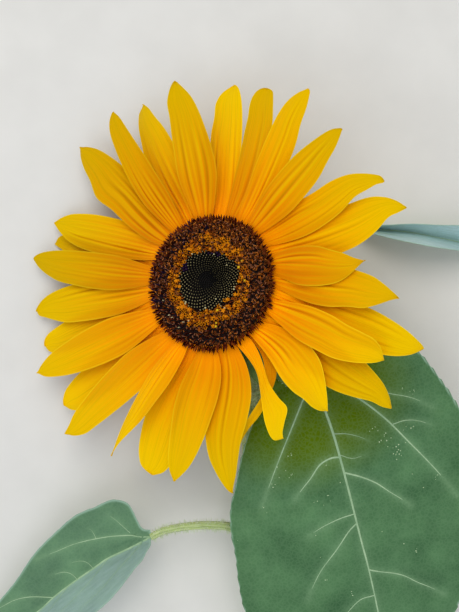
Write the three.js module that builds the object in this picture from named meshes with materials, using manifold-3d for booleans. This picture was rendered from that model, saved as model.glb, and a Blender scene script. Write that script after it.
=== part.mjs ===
// A cut sunflower top, lying face up: one bloom on its bent neck, the upper stem, and three leaves.
// Millimetres, +Z up. The stem, the left rays and the leaves' keels and tips lie on the ground plane.
import * as THREE from "three";
import { mergeVertices } from "three/addons/utils/BufferGeometryUtils.js";
import Module from "manifold-3d";

const wasm = await Module();
wasm.setup();

// Clearance between neighbouring pieces, which touch on the real plant, and the distance at which two
// points of one piece count as the same.
const GAP = 0.3;
const WELD = 0.01;

// The bloom: its disc's centre stands over the origin and its face leans to -X and a little to +Y.
const FACE_HEIGHT = 54.6;
const FACE_TURN = THREE.MathUtils.degToRad(23);
const FACE_LIFT = THREE.MathUtils.degToRad(6);

// The brown disc: radius and height of its outline from its underside to the eye at its middle. Its
// ring of open florets stands a little higher than the hollow between that ring and the eye.
const DISC_UNDERSIDE = -0.2;
const DISC_PROFILE = [
  [0, DISC_UNDERSIDE], [36.6, DISC_UNDERSIDE], [37.8, 1.4], [37, 4], [32.8, 5.6],
  [25.7, 6], [19.6, 5.2], [11.3, 6.7], [0, 7.6],
];
const DISC_SEGMENTS = 40;

// The green cup behind the disc, outlined from the neck's top to the wall that the rays spring from.
const WALL_RADIUS = 34;
const CUP_DEPTH = 25;
const NECK_RADIUS = 7.2;
const CUP_PROFILE = [
  [0, -CUP_DEPTH], [NECK_RADIUS, -CUP_DEPTH], [9.5, -23.6], [21, -21.4], [33, -18.4], [39.4, -13.6],
  [41, -10.4], [39.5, -9.2], [WALL_RADIUS, -8.7], [WALL_RADIUS, DISC_UNDERSIDE - GAP],
  [0, DISC_UNDERSIDE - GAP],
];
const CUP_SEGMENTS = 36;

// Ray florets: one every 12 degrees, on four levels from the front (0) to the back (3).
const RAY_PITCH = 12;
const FIRST_RAY_TURN = 98;
const RAY_THICKNESS = 0.9;
const RAY_ARCH = 0.6;
const RAY_TOP_LEVEL = -1.1;
const LEVEL_STEP = 2.05;
const LEVEL_LEAN = [4.5, 2.2, -0.2, -2.6];
const RAY_ROWS = 8;
const RAY_COLUMNS = 4;

// A ray leaves the wall square to it up to the first share of its length, and has turned the second
// part of the way towards its tip's direction by the third share.
const RAY_STRAIGHT = 0.25;
const RAY_TURNED = 0.6;
const RAY_TURNED_AT = 0.62;

// Half widths of a ray, as shares of its widest, from its root to its tip.
const POINTED = [0.34, 0.47, 0.68, 0.86, 0.97, 1.0, 0.97, 0.89, 0.75, 0.53, 0.06];
const ROUND = [0.34, 0.45, 0.64, 0.82, 0.94, 1.0, 1.0, 0.97, 0.89, 0.7, 0.15];
const BLUNT = [0.36, 0.5, 0.7, 0.83, 0.92, 0.98, 1.0, 1.0, 0.94, 0.75, 0.12];
const TWISTED = [0.36, 0.34, 0.36, 0.42, 0.54, 0.7, 0.84, 0.95, 1.0, 0.84, 0.2];

// Each ray clockwise from the top: where its tip points, how far it reaches from the disc's centre,
// its widest, its sideways bow, its level, how far its tip curls to the front, and its outline.
const RAYS = [
  { tip: 100, reach: 119.5, width: 25, bow: -1.5, level: 0, curl: 2, outline: POINTED },
  { tip: 86.5, reach: 117, width: 23.5, bow: 0, level: 3, curl: 0, outline: BLUNT },
  { tip: 74, reach: 113, width: 18.5, bow: -3, level: 2, curl: 1, outline: BLUNT },
  { tip: 62.5, reach: 118, width: 18, bow: -2, level: 1, curl: 0, outline: BLUNT },
  { tip: 46, reach: 110, width: 21, bow: -2, level: 0, curl: 2, outline: POINTED },
  { tip: 27.5, reach: 110.5, width: 20, bow: -2.5, level: 1, curl: 1, outline: POINTED },
  { tip: 18.5, reach: 114.5, width: 25, bow: -3, level: 2, curl: 0, outline: POINTED },
  { tip: 4, reach: 89.5, width: 22, bow: -2, level: 1, curl: 0, outline: POINTED },
  { tip: -7, reach: 106, width: 22.5, bow: -2, level: 0, curl: 3, outline: POINTED },
  { tip: -19, reach: 121.5, width: 23, bow: -3.5, level: 1, curl: 0, outline: ROUND },
  { tip: -25, reach: 107.5, width: 18.5, bow: -1, level: 0, curl: 2, outline: POINTED },
  { tip: -34, reach: 120, width: 25.5, bow: 0, level: 2, curl: 0, outline: POINTED },
  { tip: -47, reach: 97.5, width: 23.5, bow: 5, level: 1, curl: 1, outline: ROUND },
  { tip: -86, reach: 101, width: 11.5, bow: 4.5, level: 3, curl: -3, outline: BLUNT },
  { tip: -63.5, reach: 94.5, width: 14.5, bow: 7, level: 1, curl: 3, outline: TWISTED },
  { tip: -86, reach: 115, width: 26, bow: 2, level: 2, curl: 0, outline: POINTED },
  { tip: -101.5, reach: 111, width: 26, bow: -1.5, level: 1, curl: 1, outline: POINTED },
  { tip: -113, reach: 114, width: 24, bow: -1, level: 3, curl: 0, outline: ROUND },
  { tip: -121.5, reach: 113.5, width: 18, bow: -2, level: 0, curl: 2, outline: POINTED },
  { tip: -137.5, reach: 125.5, width: 24.5, bow: -4, level: 1, curl: 0, outline: POINTED },
  { tip: -146, reach: 122.5, width: 24, bow: 0, level: 3, curl: 1, outline: ROUND },
  { tip: -157, reach: 123, width: 22.5, bow: -1, level: 1, curl: 2, outline: POINTED },
  { tip: -165.5, reach: 121, width: 21, bow: 0, level: 3, curl: 1, outline: ROUND },
  { tip: -175, reach: 118, width: 25, bow: 0, level: 2, curl: 2, outline: ROUND },
  { tip: 170.5, reach: 119, width: 23, bow: 1, level: 1, curl: 2, outline: ROUND },
  { tip: 164, reach: 112.5, width: 18, bow: 0, level: 3, curl: 1, outline: POINTED },
  { tip: 158.5, reach: 115, width: 24, bow: 2.5, level: 2, curl: 2, outline: BLUNT },
  { tip: 134.5, reach: 122, width: 24.5, bow: 3.5, level: 1, curl: 2, outline: BLUNT },
  { tip: 121, reach: 123.5, width: 18, bow: 2, level: 0, curl: 1, outline: POINTED },
  { tip: 114.5, reach: 120.5, width: 21.5, bow: 1.5, level: 2, curl: 0, outline: POINTED },
];

// Pointed green bracts in two rings round the cup, behind the rays: how far each ring reaches, a
// bract's widest, its height at its root and its tip, and the part of a step that the ring is turned.
const BRACTS_PER_RING = 13;
const BRACT_THICKNESS = 1.3;
const BRACT_ARCH = 0.9;
const BRACT_ROOT_RADIUS = 35;
const BRACT_OUTLINE = [0.64, 0.76, 0.74, 0.6, 0.38, 0.04];
const BRACT_ROWS = 5;
const BRACT_COLUMNS = 2;
const BRACT_RINGS = [
  { reach: 70, width: 15, root: -12.0, tip: -16.0, start: 0.0 },
  { reach: 61, width: 14, root: -15.6, tip: -21.0, start: 0.5 },
];

// The neck: how far it runs straight on from the cup and from the stem before it bends, and the share
// of its length over which it tapers.
const NECK_STRAIGHT_TOP = 15;
const NECK_STRAIGHT_END = 19;
const NECK_TAPER = 0.6;
const NECK_STEPS = 12;

// The stem lies on the ground: its centre line's places in plan, and its radius from neck to cut.
const STEM_COURSE = [[21, -36], [22.5, -75], [25, -120], [27.5, -165], [33, -226]];
const STEM_TOP_RADIUS = 5.6;
const STEM_CUT_RADIUS = 7.0;
const STEM_STEPS = 22;
const STEM_SIDES = 12;
const PETIOLE_STEPS = 14;
const PETIOLE_SIDES = 8;

// Half outlines of a leaf from its notch to its tip, as shares of its length and half width.
const HEART = [
  [-0.02, 0.02], [-0.065, 0.12], [-0.085, 0.36], [-0.03, 0.66], [0.1, 0.87],
  [0.28, 1.0], [0.45, 0.97], [0.62, 0.8], [0.78, 0.52], [0.9, 0.23],
];
const SHOULDERED = [
  [-0.02, 0.02], [-0.05, 0.1], [-0.045, 0.24], [0.02, 0.37], [0.12, 0.58],
  [0.26, 0.88], [0.4, 0.99], [0.56, 1.0], [0.71, 0.83], [0.86, 0.44],
];
const OVATE = [
  [-0.03, 0.03], [-0.035, 0.2], [-0.02, 0.52], [0.01, 0.82], [0.1, 0.98],
  [0.22, 1.0], [0.38, 0.93], [0.56, 0.75], [0.74, 0.48], [0.9, 0.2],
];
const LANCED = [
  [-0.02, 0.03], [-0.01, 0.14], [0.03, 0.33], [0.12, 0.62], [0.25, 0.88],
  [0.38, 1.0], [0.52, 0.96], [0.68, 0.74], [0.82, 0.45], [0.93, 0.18],
];

// Leaves: where the blade's veins meet (base), its two halves to the right and left of the midrib, its
// course in plan (heading at the base and at the tip), its slope there and at the tip, how steeply each
// half folds up from the midrib at the base and at the tip, and its petiole's way and radii.
const LEAVES = [
  {
    name: "leaf_lower_right",
    base: [57.5, -49, 44],
    length: 232,
    right: { halfWidth: 68, outline: SHOULDERED, fold: [-5, -3] },
    left: { halfWidth: 84, outline: HEART, fold: [-4, -3] },
    heading: [-79, -74],
    slope: [2, -23.5],
    thickness: 2.4,
    petiole: [[22.3, -74], [27, -68, 13], [38, -58, 27], [48, -49, 40]],
    petioleRadii: [4.2, 3.6],
  },
  {
    name: "leaf_lower_left",
    base: [-44.5, -149, 27],
    length: 158,
    right: { halfWidth: 29, outline: OVATE, fold: [8, 6] },
    left: { halfWidth: 29, outline: LANCED, fold: [57, 25] },
    heading: [-140, -147],
    slope: [-3, -16],
    thickness: 1.8,
    petiole: [[27, -160], [20, -151, 15], [10, -145, 21], [-8, -143, 25.5], [-28, -145.5, 27]],
    petioleRadii: [3.3, 2.4],
  },
  {
    name: "leaf_right",
    base: [86, 41, 3],
    length: 108,
    right: { halfWidth: 25, outline: LANCED, fold: [74, 68] },
    left: { halfWidth: 25, outline: LANCED, fold: [88, 52] },
    heading: [-11, -14],
    slope: [-2, -0.5],
    thickness: 1.4,
    petiole: [[21.8, -52], [30, -42, 9], [42, -16, 8], [58, 18, 5], [74, 36, 3.8]],
    petioleRadii: [3.6, 2.8],
  },
];
const LEAF_RINGS = [0.15, 0.45, 0.74, 1.0];
const LEAF_RIM_POINTS = 40;
const LEAF_SPINE_STEPS = 24;

// Half the width of the rounded crease along a midrib, and the steps in which slopes are measured.
const KEEL_RADIUS = 1.5;
const BLADE_SLOPE_STEP = 0.5;
const STRIP_SLOPE_STEP = 0.01;

// Finishes: a sunlit yellow, brown florets, green skins and pale cut pith.
const RAY_YELLOW = 0xf3ae12;
const DISC_BROWN = 0x3a2015;
const CUP_GREEN = 0x6d8a3c;
const STEM_GREEN = 0x93a852;
const LEAF_GREEN = 0x4f7a56;

function finish(color, roughness) {
  return new THREE.MeshStandardMaterial({ color, roughness, metalness: 0 });
}

// Closed geometry from welded points and triangles.
function closedGeometry(points, triangles) {
  const geometry = new THREE.BufferGeometry();
  const flat = points.flatMap((point) => point.toArray());
  geometry.setAttribute("position", new THREE.Float32BufferAttribute(flat, 3));
  geometry.setIndex(triangles.flat());
  return geometry;
}

function toManifold(geometry) {
  const bare = geometry.clone();
  bare.deleteAttribute("normal");
  bare.deleteAttribute("uv");
  const welded = mergeVertices(bare, WELD);
  const vertProperties = new Float32Array(welded.attributes.position.array);
  const triVerts = new Uint32Array(welded.index.array);
  return new wasm.Manifold(new wasm.Mesh({ numProp: 3, vertProperties, triVerts }));
}

// Geometry of a joined or cut body, with the slivers that a cut leaves taken out.
function toGeometry(manifold) {
  const body = manifold.asOriginal().simplify(WELD).getMesh();
  const geometry = new THREE.BufferGeometry();
  geometry.setAttribute("position", new THREE.BufferAttribute(body.vertProperties, 3));
  geometry.setIndex(new THREE.BufferAttribute(body.triVerts, 1));
  return geometry;
}

// The largest of the bodies that a cut leaves.
function largestBody(manifold) {
  const bodies = manifold.decompose();
  return bodies.reduce((best, body) => (body.volume() > best.volume() ? body : best));
}

function polar(radius, degrees) {
  const angle = THREE.MathUtils.degToRad(degrees);
  return new THREE.Vector3(radius * Math.cos(angle), radius * Math.sin(angle), 0);
}

function mix(from, to, share) {
  return from + (to - from) * share;
}

function held(value, low, high) {
  return Math.min(Math.max(value, low), high);
}

// Value of a list of evenly spaced samples at a share of its span.
function sampled(samples, share) {
  const place = share * (samples.length - 1);
  const index = Math.min(Math.floor(place), samples.length - 2);
  return mix(samples[index], samples[index + 1], place - index);
}

// Unit normal of a surface by small steps in its two parameters.
function normalOf(surface, a, b, step) {
  const alongA = surface(a + step, b).sub(surface(a - step, b));
  const alongB = surface(a, b + step).sub(surface(a, b - step));
  return alongA.cross(alongB).normalize();
}

// A strip of even thickness over a surface of u (root to tip) and v (-1 to 1 across).
function strip(surface, rows, columns, thickness) {
  const front = [];
  const back = [];
  const margin = 2 * STRIP_SLOPE_STEP;
  for (let i = 0; i <= rows; i += 1) {
    for (let j = 0; j <= columns; j += 1) {
      const u = i / rows;
      const v = (2 * j) / columns - 1;
      const point = surface(u, v);
      const inside = held(u, margin, 1 - margin);
      const half = normalOf(surface, inside, v, STRIP_SLOPE_STEP).multiplyScalar(thickness / 2);
      front.push(point.clone().add(half));
      back.push(point.clone().sub(half));
    }
  }
  const offset = front.length;
  const at = (i, j) => i * (columns + 1) + j;
  const triangles = [];
  const quad = (a, b, c, d) => triangles.push([a, b, c], [a, c, d]);
  for (let i = 0; i < rows; i += 1) {
    for (let j = 0; j < columns; j += 1) {
      quad(at(i, j), at(i + 1, j), at(i + 1, j + 1), at(i, j + 1));
      quad(offset + at(i, j), offset + at(i, j + 1), offset + at(i + 1, j + 1), offset + at(i + 1, j));
    }
    quad(at(i, 0), offset + at(i, 0), offset + at(i + 1, 0), at(i + 1, 0));
    quad(at(i, columns), at(i + 1, columns), offset + at(i + 1, columns), offset + at(i, columns));
  }
  for (let j = 0; j < columns; j += 1) {
    quad(at(0, j), at(0, j + 1), offset + at(0, j + 1), offset + at(0, j));
    quad(at(rows, j), offset + at(rows, j), offset + at(rows, j + 1), at(rows, j + 1));
  }
  return closedGeometry([...front, ...back], triangles);
}

// A blade of even thickness spread from one middle point to a closed rim, over a surface of x and y.
function blade(surface, rim, rings, thickness) {
  const flat = [new THREE.Vector2(0, 0)];
  for (const share of rings) {
    for (const point of rim) {
      flat.push(point.clone().multiplyScalar(share));
    }
  }
  const front = [];
  const back = [];
  for (const point of flat) {
    const half = normalOf(surface, point.x, point.y, BLADE_SLOPE_STEP).multiplyScalar(thickness / 2);
    const middle = surface(point.x, point.y);
    front.push(middle.clone().add(half));
    back.push(middle.clone().sub(half));
  }
  const offset = front.length;
  const count = rim.length;
  const triangles = [];
  for (let k = 0; k < count; k += 1) {
    const next = (k + 1) % count;
    triangles.push([0, 1 + k, 1 + next], [offset, offset + 1 + next, offset + 1 + k]);
    for (let ring = 1; ring < rings.length; ring += 1) {
      const inner = 1 + (ring - 1) * count;
      const outer = 1 + ring * count;
      triangles.push([inner + k, outer + k, outer + next], [inner + k, outer + next, inner + next]);
      triangles.push(
        [offset + inner + k, offset + outer + next, offset + outer + k],
        [offset + inner + k, offset + inner + next, offset + outer + next],
      );
    }
    const edge = 1 + (rings.length - 1) * count;
    triangles.push(
      [edge + k, offset + edge + k, offset + edge + next],
      [edge + k, offset + edge + next, edge + next],
    );
  }
  return closedGeometry([...front, ...back], triangles);
}

// A tapering round limb along a curve, with flat ends square to it.
function limb(curve, radiusAt, steps, sides) {
  const frames = curve.computeFrenetFrames(steps, false);
  const points = [];
  const triangles = [];
  for (let i = 0; i <= steps; i += 1) {
    const centre = curve.getPointAt(i / steps);
    for (let k = 0; k < sides; k += 1) {
      const angle = (2 * Math.PI * k) / sides;
      const radius = radiusAt(i / steps);
      const point = centre.clone().addScaledVector(frames.normals[i], radius * Math.cos(angle));
      points.push(point.addScaledVector(frames.binormals[i], radius * Math.sin(angle)));
    }
  }
  for (let i = 0; i < steps; i += 1) {
    for (let k = 0; k < sides; k += 1) {
      const next = (k + 1) % sides;
      const low = i * sides;
      const high = low + sides;
      triangles.push([low + k, low + next, high + next], [low + k, high + next, high + k]);
    }
  }
  const last = steps * sides;
  for (let k = 1; k < sides - 1; k += 1) {
    triangles.push([0, k + 1, k], [last, last + k, last + k + 1]);
  }
  return closedGeometry(points, triangles);
}

function mesh(name, geometry, material) {
  const piece = new THREE.Mesh(geometry, material);
  piece.name = name;
  return piece;
}

// A body of revolution about +Z from its outline.
function turned(profile, segments) {
  const outline = profile.map(([radius, height]) => new THREE.Vector2(radius, height));
  return new THREE.LatheGeometry(outline, segments).rotateX(Math.PI / 2);
}

// Middle surface of one bract: it leaves the cup's side, passes behind the rays and ends in a point.
function bractSurface(ring, turn) {
  const axis = new THREE.Vector3(0, 0, 1);
  return (u, v) => {
    const half = (ring.width / 2) * sampled(BRACT_OUTLINE, held(u, 0, 1));
    const height = mix(ring.root, ring.tip, u * u) - BRACT_ARCH * v * v * Math.sin(Math.PI * u);
    const point = new THREE.Vector3(mix(BRACT_ROOT_RADIUS, ring.reach, u), v * half, height);
    return point.applyAxisAngle(axis, turn);
  };
}

function cupGeometry() {
  let body = toManifold(turned(CUP_PROFILE, CUP_SEGMENTS));
  for (const ring of BRACT_RINGS) {
    for (let k = 0; k < BRACTS_PER_RING; k += 1) {
      const turn = (2 * Math.PI * (k + ring.start)) / BRACTS_PER_RING;
      const bract = strip(bractSurface(ring, turn), BRACT_ROWS, BRACT_COLUMNS, BRACT_THICKNESS);
      body = body.add(toManifold(bract));
    }
  }
  return toGeometry(body);
}

// Middle surface of one ray: from the cup's wall out to its tip, arched across like a shallow roof.
function raySurface(ray, index) {
  const turn = FIRST_RAY_TURN - RAY_PITCH * index;
  const root = polar(WALL_RADIUS + GAP, turn);
  const tip = polar(ray.reach, ray.tip);
  const straight = polar(mix(WALL_RADIUS, ray.reach, RAY_STRAIGHT), turn);
  const turnedTo = mix(turn, nearTurn(ray.tip, turn), RAY_TURNED);
  const bent = polar(mix(WALL_RADIUS, ray.reach, RAY_TURNED_AT), turnedTo);
  const spine = new THREE.CubicBezierCurve3(root, straight, bent, tip);
  const lean = THREE.MathUtils.degToRad(LEVEL_LEAN[ray.level]);
  const rise = Math.tan(lean) * (ray.reach - WALL_RADIUS);
  return (u, v) => {
    const along = spine.getTangent(held(u, 0, 1));
    const side = new THREE.Vector3(-along.y, along.x, 0);
    const half = (ray.width / 2) * sampled(ray.outline, held(u, 0, 1));
    const swell = Math.sin(Math.PI * held(u, 0, 1));
    const point = spine.getPoint(u).addScaledVector(side, v * half + ray.bow * swell);
    point.z = RAY_TOP_LEVEL - LEVEL_STEP * ray.level + rise * u + ray.curl * u ** 3;
    point.z -= RAY_ARCH * v * v * swell;
    return point;
  };
}

// The same direction as a turn, named within half a circle of another one.
function nearTurn(degrees, other) {
  return degrees + 360 * Math.round((other - degrees) / 360);
}

// A leaf's rim as one smooth closed outline, from the tip down its right half and back up its left.
function leafRim(leaf) {
  const tip = new THREE.Vector3(leaf.length, 0, 0);
  const rim = [];
  const perHalf = LEAF_RIM_POINTS / 2;
  for (const [half, sign] of [[leaf.left, 1], [leaf.right, -1]]) {
    const points = half.outline.map(
      ([x, y]) => new THREE.Vector3(x * leaf.length, sign * y * half.halfWidth, 0),
    );
    const curve = new THREE.CatmullRomCurve3([...points, tip], false, "centripetal");
    const places = Array.from({ length: perHalf }, (_, k) => curve.getPointAt(k / (perHalf - 1)));
    rim.push(sign > 0 ? places.reverse() : places.slice(0, -1));
  }
  return rim.flat().map((point) => new THREE.Vector2(point.x, point.y));
}

// Middle surface of a leaf over its flat outline: x runs along the midrib, y to its left.
function leafSurface(leaf) {
  const spine = [new THREE.Vector3(...leaf.base)];
  for (let k = 0; k < LEAF_SPINE_STEPS; k += 1) {
    const forward = heading(leaf, (k + 0.5) / LEAF_SPINE_STEPS);
    spine.push(spine[k].clone().addScaledVector(forward, leaf.length / LEAF_SPINE_STEPS));
  }
  return (x, y) => {
    const share = held(x / leaf.length, 0, 1);
    const forward = heading(leaf, share);
    const place = share * LEAF_SPINE_STEPS;
    const index = Math.min(Math.floor(place), LEAF_SPINE_STEPS - 1);
    const middle = spine[index].clone().lerp(spine[index + 1], place - index);
    middle.addScaledVector(forward, x - share * leaf.length);
    const left = new THREE.Vector3(0, 0, 1).cross(forward).normalize();
    const up = forward.clone().cross(left);
    const [atBase, atTip] = (y < 0 ? leaf.right : leaf.left).fold;
    const fold = THREE.MathUtils.degToRad(mix(atBase, atTip, share));
    const soft = Math.hypot(y, KEEL_RADIUS) - KEEL_RADIUS;
    return middle.addScaledVector(left, y * Math.cos(fold)).addScaledVector(up, soft * Math.sin(fold));
  };
}

// Direction of a leaf's midrib at a share of its length.
function heading(leaf, share) {
  const turn = THREE.MathUtils.degToRad(mix(leaf.heading[0], leaf.heading[1], share));
  const slope = THREE.MathUtils.degToRad(mix(leaf.slope[0], leaf.slope[1], share));
  return new THREE.Vector3(
    Math.cos(turn) * Math.cos(slope),
    Math.sin(turn) * Math.cos(slope),
    Math.sin(slope),
  );
}

// The stem's radius at a share of its length, and its centre line lying that far above the ground.
function stemRadius(share) {
  return mix(STEM_TOP_RADIUS, STEM_CUT_RADIUS, share);
}

function stemCurve() {
  const length = STEM_COURSE.length - 1;
  const points = STEM_COURSE.map(([x, y], k) => new THREE.Vector3(x, y, stemRadius(k / length)));
  return new THREE.CatmullRomCurve3(points, false, "centripetal");
}

function faceMatrix() {
  const turn = new THREE.Matrix4().makeRotationY(-FACE_TURN);
  const lift = new THREE.Matrix4().makeRotationX(-FACE_LIFT);
  return new THREE.Matrix4().makeTranslation(0, 0, FACE_HEIGHT).multiply(lift).multiply(turn);
}

const sunflower = new THREE.Group();

const bloom = new THREE.Group();
bloom.applyMatrix4(faceMatrix());
bloom.add(mesh("disc", turned(DISC_PROFILE, DISC_SEGMENTS), finish(DISC_BROWN, 0.85)));
bloom.add(mesh("receptacle", cupGeometry(), finish(CUP_GREEN, 0.8)));
RAYS.forEach((ray, index) => {
  const name = `ray_${String(index + 1).padStart(2, "0")}`;
  const geometry = strip(raySurface(ray, index), RAY_ROWS, RAY_COLUMNS, RAY_THICKNESS);
  bloom.add(mesh(name, geometry, finish(RAY_YELLOW, 0.55)));
});
sunflower.add(bloom);

// The neck bends from the back of the cup down to the stem on the ground.
const faceAxis = new THREE.Vector3(0, 0, 1).transformDirection(faceMatrix());
const neckTop = new THREE.Vector3(0, 0, FACE_HEIGHT).addScaledVector(faceAxis, -CUP_DEPTH - GAP);
const stem = stemCurve();
const stemAxis = stem.getTangentAt(0);
const neckEnd = stem.getPointAt(0).addScaledVector(stemAxis, -GAP);
const neckCurve = new THREE.CubicBezierCurve3(
  neckTop,
  neckTop.clone().addScaledVector(faceAxis, -NECK_STRAIGHT_TOP),
  neckEnd.clone().addScaledVector(stemAxis, -NECK_STRAIGHT_END),
  neckEnd,
);
const neckRadius = (share) => mix(NECK_RADIUS, STEM_TOP_RADIUS, Math.min(1, share / NECK_TAPER));
const neckGeometry = limb(neckCurve, neckRadius, NECK_STEPS, STEM_SIDES);
sunflower.add(mesh("neck", neckGeometry, finish(STEM_GREEN, 0.7)));
sunflower.add(mesh("stem", limb(stem, stemRadius, STEM_STEPS, STEM_SIDES), finish(STEM_GREEN, 0.7)));

// Each petiole is cut clear of the stem it springs from and of its own blade.
const stemSpace = toManifold(limb(stem, (share) => stemRadius(share) + GAP, STEM_STEPS, STEM_SIDES));

function petioleGeometry(leaf, bladeSpace) {
  const [[rootX, rootY], ...way] = leaf.petiole;
  const places = [[rootX, rootY, STEM_TOP_RADIUS], ...way, leaf.base];
  const points = places.map((place) => new THREE.Vector3(...place));
  const curve = new THREE.CatmullRomCurve3(points, false, "centripetal");
  const radius = (share) => mix(leaf.petioleRadii[0], leaf.petioleRadii[1], share);
  const whole = toManifold(limb(curve, radius, PETIOLE_STEPS, PETIOLE_SIDES));
  return toGeometry(largestBody(whole.subtract(stemSpace).subtract(bladeSpace)));
}

for (const leaf of LEAVES) {
  const surface = leafSurface(leaf);
  const rim = leafRim(leaf);
  const leafGeometry = blade(surface, rim, LEAF_RINGS, leaf.thickness);
  sunflower.add(mesh(leaf.name, leafGeometry, finish(LEAF_GREEN, 0.65)));
  const wideRim = rim.map((at) => at.clone().setLength(at.length() + 1.5 * GAP));
  const bladeSpace = toManifold(blade(surface, wideRim, LEAF_RINGS, leaf.thickness + 2 * GAP));
  const name = leaf.name.replace("leaf", "petiole");
  sunflower.add(mesh(name, petioleGeometry(leaf, bladeSpace), finish(STEM_GREEN, 0.7)));
}

// The origin is the middle of the underside of the whole piece's box.
sunflower.updateMatrixWorld(true);
const box = new THREE.Box3().setFromObject(sunflower, true);
const centre = box.getCenter(new THREE.Vector3());
sunflower.position.set(-centre.x, -centre.y, -box.min.z);

export default sunflower;
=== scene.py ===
"""Looks of a cut sunflower top that lies face up: its bloom, bent neck, upper stem and three leaves.

Lengths are millimetres in the plant's own frame, where the disc's centre stands over the origin, until
Shape.settle turns them into the frame's metres.
"""

import logging
import math
from dataclasses import dataclass, field
from enum import Enum
from functools import cache

import bpy
import numpy as np
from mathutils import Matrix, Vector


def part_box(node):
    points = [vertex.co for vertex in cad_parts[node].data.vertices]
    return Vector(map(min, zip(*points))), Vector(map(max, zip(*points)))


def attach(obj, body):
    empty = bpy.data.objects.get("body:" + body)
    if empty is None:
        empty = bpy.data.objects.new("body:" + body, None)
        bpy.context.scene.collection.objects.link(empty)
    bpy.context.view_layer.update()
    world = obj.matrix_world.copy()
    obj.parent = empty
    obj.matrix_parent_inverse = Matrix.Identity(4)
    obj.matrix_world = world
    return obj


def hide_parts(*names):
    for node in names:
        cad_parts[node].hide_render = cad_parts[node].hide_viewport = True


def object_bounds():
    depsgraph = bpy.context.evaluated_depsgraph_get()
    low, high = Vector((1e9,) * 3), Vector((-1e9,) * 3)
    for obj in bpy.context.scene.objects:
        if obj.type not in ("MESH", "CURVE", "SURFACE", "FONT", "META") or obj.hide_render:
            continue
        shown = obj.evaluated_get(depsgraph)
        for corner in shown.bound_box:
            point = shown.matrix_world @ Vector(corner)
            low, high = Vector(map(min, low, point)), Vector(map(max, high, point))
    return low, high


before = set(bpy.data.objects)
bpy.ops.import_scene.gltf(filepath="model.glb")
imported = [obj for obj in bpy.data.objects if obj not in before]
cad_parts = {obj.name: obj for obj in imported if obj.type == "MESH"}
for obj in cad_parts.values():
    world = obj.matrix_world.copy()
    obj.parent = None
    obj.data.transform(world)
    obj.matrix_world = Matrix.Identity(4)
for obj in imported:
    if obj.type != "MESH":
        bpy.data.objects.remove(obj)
CAD_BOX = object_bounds()

log = logging.getLogger("sunflower")

MM = 0.001
Array = np.ndarray
Rng = np.random.Generator
Material = bpy.types.Material

# Edges that turn by more than this stay sharp.
CREASE = math.radians(55)
# A whole turn for random spins, and the turn from one floret of a spiral to the next.
SPIN = 6.28
GOLDEN_TURN = np.pi * (3 - math.sqrt(5))
UP = np.array([0.0, 0.0, 1.0])

# The bloom's face: how high its disc's centre stands, and how far it leans to -X and to +Y.
FACE_HEIGHT = 54.6
FACE_TURN = math.radians(23)
FACE_LIFT = math.radians(6)
WALL_RADIUS = 34.0
CUP_DEPTH = 25.0
NECK_RADIUS = 7.2
STEM_TOP_RADIUS = 5.6
STEM_CUT_RADIUS = 7.0

# The disc's outline from its underside to the eye, and the sides that its solid was turned with.
DISC_PROFILE = [
    (36.6, -0.2), (37.8, 1.4), (37.0, 4.0), (32.8, 5.6), (25.7, 6.0), (19.6, 5.2), (11.3, 6.7), (0.0, 7.6),
]
DISC_SIDES = 40


# Numbers and curves

def mix(low: float | Array, high: float | Array, share: float | Array) -> float | Array:
    """Value at a share of the way from low to high."""
    return low + (high - low) * share


def smooth(value: float | Array, low: float, high: float) -> float | Array:
    """Soft step from 0 at low to 1 at high."""
    share = np.clip((value - low) / (high - low), 0.0, 1.0)
    return share * share * (3.0 - 2.0 * share)


def sampled(samples: tuple, share: Array) -> Array:
    """Value of a list of evenly spaced samples at each share of its span."""
    return np.interp(share, np.linspace(0.0, 1.0, len(samples)), samples)


def flowing(samples: tuple, share: Array) -> Array:
    """The smooth curve through evenly spaced samples.

    Args:
        samples: its values at even steps.
        share: how far along it each place is.

    Returns:
        Its value at each place.
    """
    knots = np.concatenate([[2 * samples[0] - samples[1]], samples, [2 * samples[-1] - samples[-2]]])
    place = np.clip(share, 0, 1) * (len(samples) - 1)
    first = np.minimum(place.astype(int), len(samples) - 2)
    t = place - first
    a, b, c, d = (knots[first + k] for k in range(4))
    return b + 0.5 * t * (c - a + t * (2 * a - 5 * b + 4 * c - d + t * (3 * (b - c) + d - a)))


def unit(vectors: Array) -> Array:
    """The vectors at length one."""
    return vectors / np.maximum(np.linalg.norm(vectors, axis=-1, keepdims=True), 1e-9)


def polar(radius: float, degrees: float) -> Array:
    """Point in the face's plane at a radius and a turn from its +X."""
    angle = math.radians(degrees)
    return np.array([radius * math.cos(angle), radius * math.sin(angle), 0.0])


def bezier(points: list, share: Array) -> tuple[Array, Array]:
    """Places and directions along a cubic Bezier curve.

    Args:
        points: its four control points.
        share: how far along each place is.

    Returns:
        The places and the unit directions there.
    """
    a, b, c, d = (np.asarray(p, float) for p in points)
    t = share[:, None]
    place = (1 - t) ** 3 * a + 3 * (1 - t) ** 2 * t * b + 3 * (1 - t) * t * t * c + t**3 * d
    along = 3 * (1 - t) ** 2 * (b - a) + 6 * (1 - t) * t * (c - b) + 3 * t * t * (d - c)
    return place, unit(along)


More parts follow.
